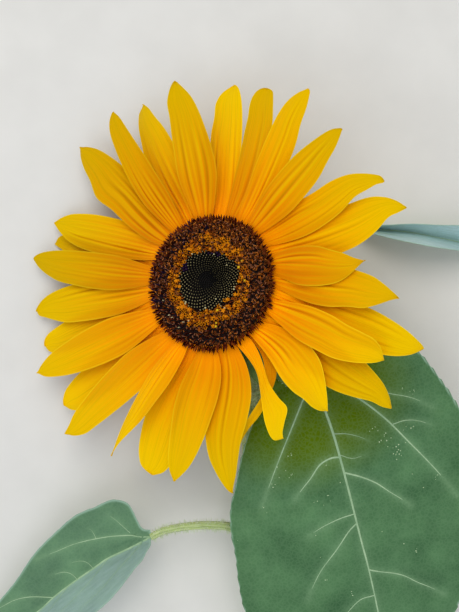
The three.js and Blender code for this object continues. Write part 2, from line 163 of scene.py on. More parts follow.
def smooth_line(points: list, per_span: int = 24) -> Array:
    """Places along the centripetal Catmull-Rom curve through some points.

    Args:
        points: what the curve passes through.
        per_span: places on each stretch between two of them.

    Returns:
        The places, from the first point to the last.
    """
    knots = np.asarray(points, float)
    first, last = 2 * knots[0] - knots[1], 2 * knots[-1] - knots[-2]
    knots = np.vstack([first, knots, last])
    found = []
    for k in range(1, len(knots) - 2):
        p0, p1, p2, p3 = knots[k - 1 : k + 3]
        t1 = np.linalg.norm(p1 - p0) ** 0.5
        t2 = t1 + np.linalg.norm(p2 - p1) ** 0.5
        t3 = t2 + np.linalg.norm(p3 - p2) ** 0.5
        t = np.linspace(t1, t2, per_span, endpoint=False)[:, None]
        a1 = (t1 - t) / t1 * p0 + t / t1 * p1
        a2 = (t2 - t) / (t2 - t1) * p1 + (t - t1) / (t2 - t1) * p2
        a3 = (t3 - t) / (t3 - t2) * p2 + (t - t2) / (t3 - t2) * p3
        b1 = (t2 - t) / t2 * a1 + t / t2 * a2
        b2 = (t3 - t) / (t3 - t1) * a2 + (t - t1) / (t3 - t1) * a3
        found.append((t2 - t) / (t2 - t1) * b1 + (t - t1) / (t2 - t1) * b2)
    return np.vstack([*found, knots[-2:-1]])


def travelled(line: Array) -> Array:
    """How far along a line each of its places is."""
    return np.concatenate([[0.0], np.cumsum(np.linalg.norm(np.diff(line, axis=0), axis=1))])


def spaced(line: Array, count: int) -> Array:
    """The line again, in even steps.

    Args:
        line: places along it.
        count: how many places are wanted.

    Returns:
        Those places, at even distances.
    """
    along = travelled(line)
    wanted = np.linspace(0.0, along[-1], count)
    return np.stack([np.interp(wanted, along, line[:, axis]) for axis in range(line.shape[1])], axis=1)


def gap(flat: Array, line: Array) -> Array:
    """Distance to a line.

    Args:
        flat: the flat places to measure from.
        line: the line's places, taken a few at a time.

    Returns:
        How far each place is from the nearest place of the line.
    """
    parts = np.array_split(line, max(1, len(line) // 24))
    reaches = [np.linalg.norm(flat[:, None] - part[None], axis=2).min(axis=1) for part in parts]
    return np.minimum.reduce(reaches)


def turned_x(angle: float) -> Array:
    """Rotation about X."""
    c, s = math.cos(angle), math.sin(angle)
    return np.array([[1, 0, 0], [0, c, -s], [0, s, c]])


def turned_y(angle: float) -> Array:
    """Rotation about Y."""
    c, s = math.cos(angle), math.sin(angle)
    return np.array([[c, 0, s], [0, 1, 0], [-s, 0, c]])


FACE = turned_x(-FACE_LIFT) @ turned_y(-FACE_TURN)
FACE_CENTRE = np.array([0.0, 0.0, FACE_HEIGHT])


def on_face(points: Array) -> Array:
    """Points of the bloom's own frame in the plant's frame."""
    return points @ FACE.T + FACE_CENTRE


def frame_shift() -> Array:
    """Finds where the plant's frame lies, from the place of the disc's solid.

    Returns:
        The offset from the plant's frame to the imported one, in mm.
    """
    turns = np.radians(np.arange(DISC_SIDES) * 360.0 / DISC_SIDES)
    x, y = np.sin(turns), np.cos(turns)
    solid = on_face(np.vstack([np.stack([r * x, r * y, 0 * x + z], axis=1) for r, z in DISC_PROFILE]))
    low, high = (np.array(corner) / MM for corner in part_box("disc"))
    return (low + high - solid.min(axis=0) - solid.max(axis=0)) / 2


SHIFT = frame_shift()


# Shapes

def new_object(name: str, data: bpy.types.ID) -> bpy.types.Object:
    """A new object in the scene."""
    made = bpy.data.objects.new(name, data)
    bpy.context.scene.collection.objects.link(made)
    return made


@dataclass
class Shape:
    """Points and faces that grow part by part and become one mesh piece."""

    points: list = field(default_factory=list)
    faces: list = field(default_factory=list)
    slots: list = field(default_factory=list)
    values: dict = field(default_factory=dict)
    count: int = 0

    def add(self, points: Array, faces: Array, slot: int = 0, **values: Array) -> None:
        """Adds a part.

        Args:
            points: its places, in the plant's frame.
            faces: rows of three or four point numbers, counted from this part's first point.
            slot: which of the piece's finishes it wears.
            values: numbers that the finish reads, one for each point.
        """
        self.points.append(np.asarray(points, float))
        self.faces.append(np.asarray(faces, int) + self.count)
        self.slots.append(np.full(len(faces), slot))
        for name, numbers in values.items():
            self.values.setdefault(name, []).append(np.broadcast_to(numbers, len(points)))
        self.count += len(points)

    def add_copies(self, points: Array, faces: Array, frames: Array, places: Array, slot: int = 0) -> None:
        """Adds one part many times.

        Args:
            points: the part's places in its own frame.
            faces: its faces.
            frames: a 3 by 3 matrix for each copy, whose columns are the copy's axes with their sizes.
            places: where each copy stands.
            slot: which of the piece's finishes the copies wear.
        """
        if len(places) == 0:
            return
        moved = np.einsum("nij,pj->npi", frames, points) + places[:, None, :]
        offsets = (np.arange(len(places)) * len(points))[:, None, None]
        self.add(moved.reshape(-1, 3), (faces[None] + offsets).reshape(-1, faces.shape[1]), slot)

    def settle(self, name: str, finishes: tuple, slot: str, *nodes: str) -> None:
        """Makes the piece and seats it on the plant's one body.

        Args:
            name: what it is called.
            finishes: its finishes, in the order of the slots that its faces name.
            slot: a name for the record's finish; not used.
            nodes: the solids that it stands for.
        """
        places = (np.vstack(self.points) + SHIFT) * MM
        faces = [tuple(face) for rows in self.faces for face in rows.tolist()]
        mesh = bpy.data.meshes.new(name)
        mesh.from_pydata(places.tolist(), [], faces)
        mesh.polygons.foreach_set("material_index", np.concatenate(self.slots).astype(np.int32))
        mesh.polygons.foreach_set("use_smooth", np.ones(len(faces), bool))
        for label, numbers in self.values.items():
            layer = mesh.attributes.new(label, "FLOAT", "POINT")
            layer.data.foreach_set("value", np.concatenate(numbers).astype(np.float32))
        for finish in finishes:
            mesh.materials.append(finish.material())
        mesh.set_sharp_from_angle(angle=CREASE)
        mesh.update()
        piece = new_object(name, mesh)
        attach(piece, "root")
        if nodes:
            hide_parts(*nodes)
        log.info("%s: %d faces, for %s", name, len(faces), ", ".join(nodes) or "detail")


def grid_faces(rows: int, columns: int, start: int = 0, flip: bool = False) -> Array:
    """Four-sided faces between the points of a grid that is stored row by row.

    Args:
        rows: points from the first row to the last.
        columns: points in a row.
        start: the number of the grid's first point.
        flip: turns the faces over.

    Returns:
        One row of four point numbers for each face.
    """
    i, j = np.meshgrid(np.arange(rows - 1), np.arange(columns - 1), indexing="ij")
    a = (i * columns + j).ravel() + start
    quads = np.stack([a, a + columns, a + columns + 1, a + 1], axis=1)
    return quads[:, ::-1] if flip else quads


def band_faces(front: Array, back: Array) -> Array:
    """Faces that join two rows of point numbers edge to edge."""
    return np.stack([front[:-1], back[:-1], back[1:], front[1:]], axis=1)


def grid_normals(grid: Array) -> Array:
    """Unit normals of a grid of places."""
    return unit(np.cross(np.gradient(grid, axis=0), np.gradient(grid, axis=1)))


def shell(shape: Shape, grid: Array, thickness: Array, **values: Array) -> None:
    """Adds a thin closed shell round a grid of places.

    Args:
        shape: what it is added to.
        grid: the shell's middle surface, as rows by columns of places.
        thickness: how thick it is at each place.
        values: numbers for the finish, one for each place of the grid.
    """
    rows, columns = grid.shape[:2]
    half = grid_normals(grid) * (np.broadcast_to(thickness, (rows, columns)) / 2)[..., None]
    total = rows * columns
    number = np.arange(total).reshape(rows, columns)
    edges = [number[:, 0][::-1], number[:, -1], number[0, :], number[-1, :][::-1]]
    faces = [grid_faces(rows, columns), grid_faces(rows, columns, total, flip=True)]
    faces += [band_faces(edge, edge + total) for edge in edges]
    points = np.concatenate([(grid + half).reshape(-1, 3), (grid - half).reshape(-1, 3)])
    doubled = {name: np.tile(np.broadcast_to(v, (rows, columns)).ravel(), 2) for name, v in values.items()}
    under = np.repeat([0.0, 1.0], total)
    shape.add(points, np.concatenate(faces), under=under, **doubled)


def beside(line: Array, up: Array) -> tuple[Array, Array]:
    """Unit directions to the side of a line and up from it, at each of its places."""
    along = unit(np.gradient(line, axis=0))
    side = unit(np.cross(np.broadcast_to(up, line.shape), along))
    return side, np.cross(along, side)


def sweep(line: Array, up: Array, wide: Array, high: Array, sides: int) -> tuple[Array, Array]:
    """A closed limb along a line, with an oval section and rounded-off flat ends.

    Args:
        line: its centre line.
        up: the direction at each place that its height is measured along.
        wide: half its width at each place.
        high: half its height at each place.
        sides: points round it.

    Returns:
        Its points and its three-sided faces.
    """
    side, rise = beside(line, up)
    turns = np.arange(sides) * 2 * np.pi / sides
    wide, high = (np.broadcast_to(size, len(line))[:, None, None] for size in (wide, high))
    rings = line[:, None] + side[:, None] * wide * np.cos(turns)[None, :, None]
    rings = rings + rise[:, None] * high * np.sin(turns)[None, :, None]
    return closed_rings(rings)


def closed_rings(rings: Array) -> tuple[Array, Array]:
    """A closed body through rings of places, with a point in the middle of each end.

    Args:
        rings: rows by sides of places.

    Returns:
        Its points and its three-sided faces.
    """
    count, sides = rings.shape[:2]
    points = np.concatenate([rings.reshape(-1, 3), [rings[0].mean(axis=0), rings[-1].mean(axis=0)]])
    i, k = (index.ravel() for index in np.meshgrid(np.arange(count - 1), np.arange(sides), indexing="ij"))
    a, b = i * sides + k, i * sides + (k + 1) % sides
    walls = [np.stack([a, b, b + sides], axis=1), np.stack([a, b + sides, a + sides], axis=1)]
    k = np.arange(sides)
    nearby = (k + 1) % sides
    first, last, top = np.full(sides, count * sides), np.full(sides, count * sides + 1), (count - 1) * sides
    ends = [np.stack([first, nearby, k], axis=1), np.stack([last, top + k, top + nearby], axis=1)]
    return points, np.concatenate([*walls, *ends])


def turned_body(profile: tuple, sides: int) -> tuple[Array, Array]:
    """A small closed body of revolution about +Z.

    Args:
        profile: its radii and heights.
        sides: points round it.

    Returns:
        Its points and its three-sided faces.
    """
    turns = np.arange(sides) * 2 * np.pi / sides
    rings = np.array([[(r * np.cos(t), r * np.sin(t), z) for t in turns] for r, z in profile])
    return closed_rings(rings)


def frames_for(axes: Array, spins: Array, girth: Array, length: Array) -> Array:
    """Frames for copies of a part that stands along +Z.

    Args:
        axes: the direction that each copy stands along.
        spins: its turn about that direction.
        girth: its size across.
        length: its size along.

    Returns:
        A 3 by 3 matrix for each copy.
    """
    axes = unit(axes)
    helper = np.where(np.abs(axes[:, :1]) < 0.8, [[1.0, 0.0, 0.0]], [[0.0, 1.0, 0.0]])
    side = unit(np.cross(helper, axes))
    front = np.cross(axes, side)
    c, s = np.cos(spins)[:, None], np.sin(spins)[:, None]
    x, y = side * c + front * s, front * c - side * s
    return np.stack([x * girth[:, None], y * girth[:, None], axes * length[:, None]], axis=2)


# Finishes

def linear(colour: str) -> tuple:
    """An sRGB hex colour as the linear numbers that Blender takes, with full alpha."""
    parts = [int(colour[k : k + 2], 16) / 255 for k in (1, 3, 5)]
    return (*(c / 12.92 if c <= 0.04045 else ((c + 0.055) / 1.055) ** 2.4 for c in parts), 1.0)


def add_node(
    tree: bpy.types.NodeTree, kind: str, inputs: dict, out: str = "", stops: tuple = (), **settings: object
) -> bpy.types.NodeSocket | None:
    """Adds a node with its settings and links.

    Args:
        tree: the material's nodes.
        kind: the node's Blender type, without the ShaderNode before it.
        inputs: a value, or another node's output to link, for each socket by name or number.
        out: which output is wanted, or nothing for the first that the settings leave on.
        stops: a colour ramp's places and hex colours.
        settings: the node's own settings.

    Returns:
        The wanted output, if the node has any.
    """
    node = tree.nodes.new("ShaderNode" + kind)
    for name, value in settings.items():
        setattr(node, name, value)
    for socket, value in inputs.items():
        if isinstance(value, bpy.types.NodeSocket):
            tree.links.new(value, node.inputs[socket])
        else:
            node.inputs[socket].default_value = value
    for number, (place, colour) in enumerate(stops):
        elements = node.color_ramp.elements
        stop = elements[number] if number < len(elements) else elements.new(place)
        stop.position, stop.color = place, linear(colour)
    return node.outputs[out] if out else next((socket for socket in node.outputs if socket.enabled), None)


def new_tree(name: str, *labels: str) -> tuple:
    """Starts a material.

    Args:
        name: what it is called.
        labels: the numbers that it reads from the mesh.

    Returns:
        The material, its empty node tree, and the output that gives each of those numbers.
    """
    material = bpy.data.materials.new(name)
    material.use_nodes = True
    tree = material.node_tree
    tree.nodes.clear()
    read = {label: add_node(tree, "Attribute", {}, "Fac", attribute_name=label) for label in labels}
    return material, tree, read


def end_tree(
    tree: bpy.types.NodeTree, colour: object, roughness: object, relief: tuple, specular: float,
    sheen: str = "#ffffff",
) -> None:
    """Closes a material's nodes with a Principled shader over fine bumps.

    Args:
        tree: the material's nodes.
        colour: the output that gives its colour.
        roughness: its roughness, or the output that gives it.
        relief: the output that its bumps follow, their strength, and their height in metres.
        specular: how strongly it shines.
        sheen: the tint of that shine.
    """
    bumps = add_node(tree, "Bump", dict(zip(("Height", "Strength", "Distance"), relief)))
    shader = add_node(tree, "BsdfPrincipled", {
        "Base Color": colour, "Roughness": roughness, "Normal": bumps, "Specular IOR Level": specular,
        "Specular Tint": linear(sheen),
    })
    add_node(tree, "OutputMaterial", {"Surface": shader})


# What a Map Range node takes, in order.
SPAN = ("Value", "From Min", "From Max", "To Min", "To Max")


@dataclass(frozen=True)
class RaySkin:
    """Ray floret tissue: a thin satin petal, deep orange at its root and golden yellow at its tip.

    Its even veins draw fine lines along it; its creases carry a painted amber shade,
    its ridges a painted highlight and its edges a painted bright rim.
    behind_shade, front_glow: its colours of painted shade where rays lie behind it, for the light that they
    keep from coming through, and of painted light beside the edge of one in front.
    """

    name: str = "ray floret tissue"
    root: str = "#ff8c00"
    heart: str = "#ff9700"
    middle: str = "#fcb000"
    outer: str = "#f6be00"
    tip: str = "#f2c600"
    # Painted shade in the creases, also the colour of the darker vein lines; then a painted highlight on the
    # ridges.
    vein_crease_shade_root: str = "#b86000"
    vein_crease_shade_tip: str = "#b88c00"
    ridge_highlight_root: str = "#ffa800"
    ridge_highlight_tip: str = "#ffdc00"
    # Painted shade where rays lie behind, and painted light beside the edge of a ray in front.
    behind_shade: str = "#d07e00"
    front_glow: str = "#ff9400"
    # A painted highlight along the edges.
    edge: str = "#ffdc1c"
    under: str = "#c99a10"
    sheen: str = "#ffca3a"
    veins_across: float = 15.0

    def build(self) -> Material:
        """Makes the material from the numbers that a ray's mesh carries.

        Returns:
            The material.
        """
        material, tree, read = new_tree(
            self.name, "along", "across", "seed", "fold", "behind", "front", "tone", "amber", "under"
        )
        # Shares of painted shade in the creases and where rays lie behind, and of painted light beside a ray
        # in front.
        wide, crease_shade, behind_shade_share, lit, turned = (
            add_node(tree, "Math", {0: read[label], 1: share}, operation="MULTIPLY")
            for label, share in (
                ("across", self.veins_across), ("fold", -0.6), ("behind", 0.45), ("front", 0.5),
                ("under", 0.5),
            )
        )
        off = add_node(tree, "Math", {0: read["across"]}, operation="ABSOLUTE")
        place = add_node(tree, "CombineXYZ", {"X": wide, "Y": read["along"], "Z": read["seed"]})
        lines = {"Vector": place, "Scale": 1.0, "Detail": 3.0, "Roughness": 0.65}
        streak = add_node(tree, "TexNoise", lines)
        # high is the share of a painted highlight on the ridges, rim that of a painted bright edge.
        wander, vein, high, rim, gloss = (
            add_node(tree, "MapRange", dict(zip(SPAN, numbers)))
            for numbers in (
                (streak, 0.3, 0.7, -0.12, 0.12), (streak, 0.48, 0.78, 0.0, 0.42),
                (read["fold"], 0.04, 0.5, 0.0, 0.75), (off, 0.92, 0.98, 0.0, 0.8),
                (streak, 0.0, 1.0, 0.5, 0.65),
            )
        )
        later = add_node(tree, "Math", {0: read["along"], 1: read["amber"]}, operation="SUBTRACT")
        reach = add_node(tree, "Math", {0: later, 1: wander}, operation="ADD")
        colour = add_node(tree, "ValToRGB", {"Fac": reach}, stops=(
            (0.0, self.root), (0.25, self.heart), (0.52, self.middle), (0.78, self.outer), (1.0, self.tip),
        ))
        # Painted shade for the creases and vein lines, and painted highlight for the ridges, from root to
        # tip.
        deep, bright = (
            add_node(tree, "Mix", {0: read["along"], 6: linear(a), 7: linear(b)}, data_type="RGBA")
            for a, b in ((self.vein_crease_shade_root, self.vein_crease_shade_tip), (self.ridge_highlight_root, self.ridge_highlight_tip))
        )
        shade = add_node(tree, "Math", {0: crease_shade, 1: vein}, operation="MAXIMUM", use_clamp=True)
        # The edges' painted highlight grows towards the tip.
        outward = add_node(tree, "Math", {0: rim, 1: read["along"]}, operation="MULTIPLY")
        # Mixes in painted shade and highlight, painted shade and light from neighbours, a painted bright edge
        # and the back.
        for share, other in (
            (shade, deep), (high, bright), (behind_shade_share, linear(self.behind_shade)), (lit, linear(self.front_glow)),
            (outward, linear(self.edge)), (turned, linear(self.under)),
        ):
            colour = add_node(tree, "Mix", {0: share, 6: colour, 7: other}, data_type="RGBA")
        fine = add_node(tree, "VectorMath", {0: place, 1: (3.0, 1.2, 1.0)}, operation="MULTIPLY")
        ribs = add_node(tree, "TexNoise", {"Vector": fine, "Scale": 1.0, "Detail": 2.0})
        # The ray's tone, in part painted light, sets its brightness.
        toned = add_node(tree, "HueSaturation", {"Color": colour, "Value": read["tone"]})
        end_tree(tree, toned, gloss, (ribs, 0.4, 0.5 * MM), 0.2, self.sheen)
        return material


@dataclass(frozen=True)
class PlantSkin:
    """A plain plant surface in two close colours that drift over a real distance, with a faint grain.

    It gives small parts the slight unevenness that keeps them from looking cast.
    patch: how far apart its two colours lie, in mm.
    grain: how strong its fine relief is.
    """

    name: str
    colour: str
    second: str
    patch: float = 2.0
    roughness: float = 0.7
    grain: float = 0.3
    specular: float = 0.3

    def build(self) -> Material:
        """Makes the material.

        Returns:
            The material.
        """
        material, tree, _ = new_tree(self.name)
        place = add_node(tree, "TexCoord", {}, "Object")
        drift = add_node(tree, "TexNoise", {"Vector": place, "Scale": 1 / (self.patch * MM), "Detail": 3.0})
        share = add_node(tree, "MapRange", {"Value": drift, "From Min": 0.35, "From Max": 0.65})
        colours = {0: share, 6: linear(self.colour), 7: linear(self.second)}
        colour = add_node(tree, "Mix", colours, data_type="RGBA")
        end_tree(tree, colour, self.roughness, (drift, self.grain, self.patch * MM / 4), self.specular)
        return material


@dataclass(frozen=True)
class StemSkin:
    """Ribbed green stem skin: long darker streaks, and paler ridges that carry a painted highlight."""

    name: str = "ribbed stem skin"
    # Painted highlight on the ridges, over the grooves' colour.
    ridge: str = "#bfce88"
    groove: str = "#9ab263"
    pale: str = "#d6e1b2"
    streaks: float = 14.0

    def build(self) -> Material:
        """Makes the material from the numbers that a limb's mesh carries.

        Returns:
            The material.
        """
        material, tree, read = new_tree(self.name, "along", "round", "ridge")
        wide = add_node(tree, "Math", {0: read["round"], 1: self.streaks}, operation="MULTIPLY")
        place = add_node(tree, "CombineXYZ", {"X": wide, "Y": read["along"]})
        streak = add_node(tree, "TexNoise", {"Vector": place, "Scale": 1.6, "Detail": 4.0})
        share = add_node(tree, "MapRange", {"Value": streak, "From Min": 0.45, "From Max": 0.75})
        colour = linear(self.groove)
        # The ridges take a painted highlight; the streaks are the skin's own.
        for factor, other in ((read["ridge"], self.ridge), (share, self.pale)):
            colour = add_node(tree, "Mix", {0: factor, 6: colour, 7: linear(other)}, data_type="RGBA")
        end_tree(tree, colour, 0.6, (streak, 0.4, 0.3 * MM), 0.35)
        return material


@dataclass(frozen=True)
class LeafSkin:
    """Rough dull leaf: bluish green in drifting patches, paler by its veins, with a painted blue-grey sky
    reflection.

    Painted shade of the petals above, yellow with the light that they let through, turns the part nearest the
    petiole a yellower green; a painted pale reflection runs along the rim, and a fine net of veinlets gives
    it a slight grain.
    patch, veinlet, reflection_streak: how far apart its patches, veinlets and reflection streaks are, in mm.
    """

    name: str = "rough leaf skin"
    dark: str = "#3a6240"
    light: str = "#5b865b"
    # Painted shade of the petals above, yellow olive with the light they let through.
    petal_shade: str = "#546e00"
    veined: str = "#90b489"
    # Painted blue-grey reflection of the sky over folded halves, and a painted pale reflection along the rim.
    sky_reflection: str = "#cfe8ec"
    rim: str = "#a9c9b4"
    under: str = "#87a886"
    sheen: str = "#c4d478"
    patch: float = 30.0
    veinlet: float = 2.2
    reflection_streak: float = 1.6

    def build(self) -> Material:
        """Makes the material from the numbers that a blade's mesh carries, its places in mm among them.

        Returns:
            The material.
        """
        labels = ("leaf_x", "leaf_y", "vein", "petal_shade", "bloom", "rim", "under")
        material, tree, read = new_tree(self.name, *labels)
        place = add_node(tree, "CombineXYZ", {"X": read["leaf_x"], "Y": read["leaf_y"]})
        along = (0.12, 1 / self.reflection_streak, 1.0)
        long = add_node(tree, "VectorMath", {0: place, 1: along}, operation="MULTIPLY")
        names = ("Vector", "Scale", "Detail", "Roughness")
        drift, streak, grit = (
            add_node(tree, "TexNoise", dict(zip(names, numbers)))
            for numbers in ((place, 1 / self.patch, 6.0, 0.6), (long, 1.0, 3.0, 0.5), (place, 1.2, 3.0, 0.5))
        )
        net = {"Vector": place, "Scale": 1 / self.veinlet}
        cells = add_node(tree, "TexVoronoi", net, feature="DISTANCE_TO_EDGE")
        share, netted, patchy, gloss = (
            add_node(tree, "MapRange", dict(zip(SPAN, numbers)))
            for numbers in (
                (drift, 0.3, 0.7, 0.0, 1.0), (cells, 0.0, 0.2, 0.1, 0.0), (streak, 0.3, 0.7, 0.85, 1.1),
                (grit, 0.0, 1.0, 0.42, 0.62),
            )
        )
        # Shares of paler veins, the duller back, a painted rim reflection and a painted sky reflection.
        paler, turned, rim_reflected, sky_reflected = (
            add_node(tree, "Math", {0: read[label], 1: by}, operation="MULTIPLY")
            for label, by in (("vein", 0.4), ("under", 0.7), ("rim", 0.6), ("bloom", patchy))
        )
        veins, rough = (
            add_node(tree, "Math", {0: one, 1: other}, operation="ADD")
            for one, other in ((paler, netted), (cells, grit))
        )
        colour = linear(self.dark)
        # Mixes in the petals' painted shade, the painted sky reflection, the veins, the painted rim
        # reflection and the back.
        for factor, other in (
            (share, self.light), (read["petal_shade"], self.petal_shade), (sky_reflected, self.sky_reflection), (veins, self.veined),
            (rim_reflected, self.rim), (turned, self.under),
        ):
            colour = add_node(tree, "Mix", {0: factor, 6: colour, 7: linear(other)}, data_type="RGBA")
        end_tree(tree, colour, gloss, (rough, 0.3, 0.4 * MM), 0.2, self.sheen)
        return material


class Finish(Enum):
    """Every finish of the plant."""

    RAY = RaySkin()
    LEAF = LeafSkin()
    STEM = StemSkin()
    # Smooth raised tissue, paler than the blade, and the dull dots that lie on it.
    LEAF_VEIN = PlantSkin("pale leaf vein", "#93b48a", "#adcaa0", 6.0, 0.6, specular=0.2)
    FLECK = PlantSkin("pale leaf fleck", "#a2c08c", "#c4d8ae", 3.0, 0.6)
    # Spongy and matt, the palest part of the stem.
    PITH = PlantSkin("cut pith", "#e3e2c2", "#cfd3a6", 1.2, 0.85, 0.6)
    # Glassy hairs that give the green parts a light fringe.
    BRISTLE = PlantSkin("pale bristle", "#cdd8b4", "#e2e8cf", 3.0, 0.5)
    # A duller, deeper green than the stem's.
    BRACT = PlantSkin("bract skin", "#5f8440", "#7c9a55", 5.0, 0.65)
    # Almost black and matt, a painted shade between the florets, so that the eye reads as deep.
    BED = PlantSkin("disc bed", "#140a08", "#20100c", 1.5, 0.9, 0.5)
    BUD = PlantSkin("closed floret bud", "#07090a", "#0e0f0a", 2.5, 0.6, specular=0.15)
    # Dull points on the dark that draw the eye's spiral.
    BUD_DIM = PlantSkin("dull bud tip", "#5a5234", "#746a44", 1.5, 0.6, specular=0.2)
    BUD_TIP = PlantSkin("pale bud tip", "#8a7e52", "#a89b68", 1.5, 0.6)
    # Dry and powdery, the disc's few bright dots.
    GRAIN = PlantSkin("cream floret grain", "#cfc58a", "#e6ddac", 1.0, 0.8)
    POLLEN = PlantSkin("floret pollen", "#d2a80c", "#e4c21c", 1.0, 0.9, 0.6)
    # Papery lobes from fresh orange to dried brown.
    COROLLA = PlantSkin("open floret corolla", "#d27800", "#ec960a", 1.6, 0.7, specular=0.1)
    COROLLA_DEEP = PlantSkin("withering corolla", "#9c4a04", "#c86e0c", 1.6, 0.8, specular=0.1)
    COROLLA_BROWN = PlantSkin("dried corolla", "#6c360f", "#a05f2a", 1.6, 0.8, specular=0.1)
    # Dark tubes that swallow the light, warmer or bluer from side to side.
    ANTHER = PlantSkin("dark anther tube", "#220400", "#400e04", 1.6, 0.7, specular=0.03)
    ANTHER_BROWN = PlantSkin("brown anther tube", "#54180a", "#8a3a12", 1.6, 0.6, specular=0.1)
    ANTHER_VIOLET = PlantSkin("violet anther tube", "#1a0c2c", "#2c1438", 1.6, 0.5, specular=0.15)
    # Curled arms that catch a soft light over the dark tubes.
    STIGMA = PlantSkin("tawny stigma arm", "#b05c14", "#d08024", 1.2, 0.6)
    STIGMA_MAUVE = PlantSkin("mauve stigma arm", "#74402c", "#a46a48", 1.2, 0.6)

    @cache
    def material(self) -> Material:
        """The finish's material, made the first time that it is asked for."""
        return self.value.build()


# Ray florets

@dataclass(frozen=True)
class Ray:
    """One ray floret, from the disc's wall to its tip.

    tip, reach: where its tip points (degrees) and how far it is from the disc's centre.
    bow: how far its course bows sideways.
    level, curl: its layer from the front (0) to the back (3), and how far its tip curls to the front.
    left, right: its half widths beside that course, from next to its tip to its root; they crowd at the tip.
    root: the turn that it grows at, or None for its place in the ring.
    tone: how bright it is beside the others, in part painted light that evens out the shade falling on it;
    amber: how much farther out its orange root colour reaches; folds: how deep its creases are.
    """

    tip: float
    reach: float
    bow: float
    level: float
    curl: float
    left: tuple
    right: tuple
    root: float | None = None
    tone: float = 1.0
    amber: float = 0.0
    folds: float = 0.8


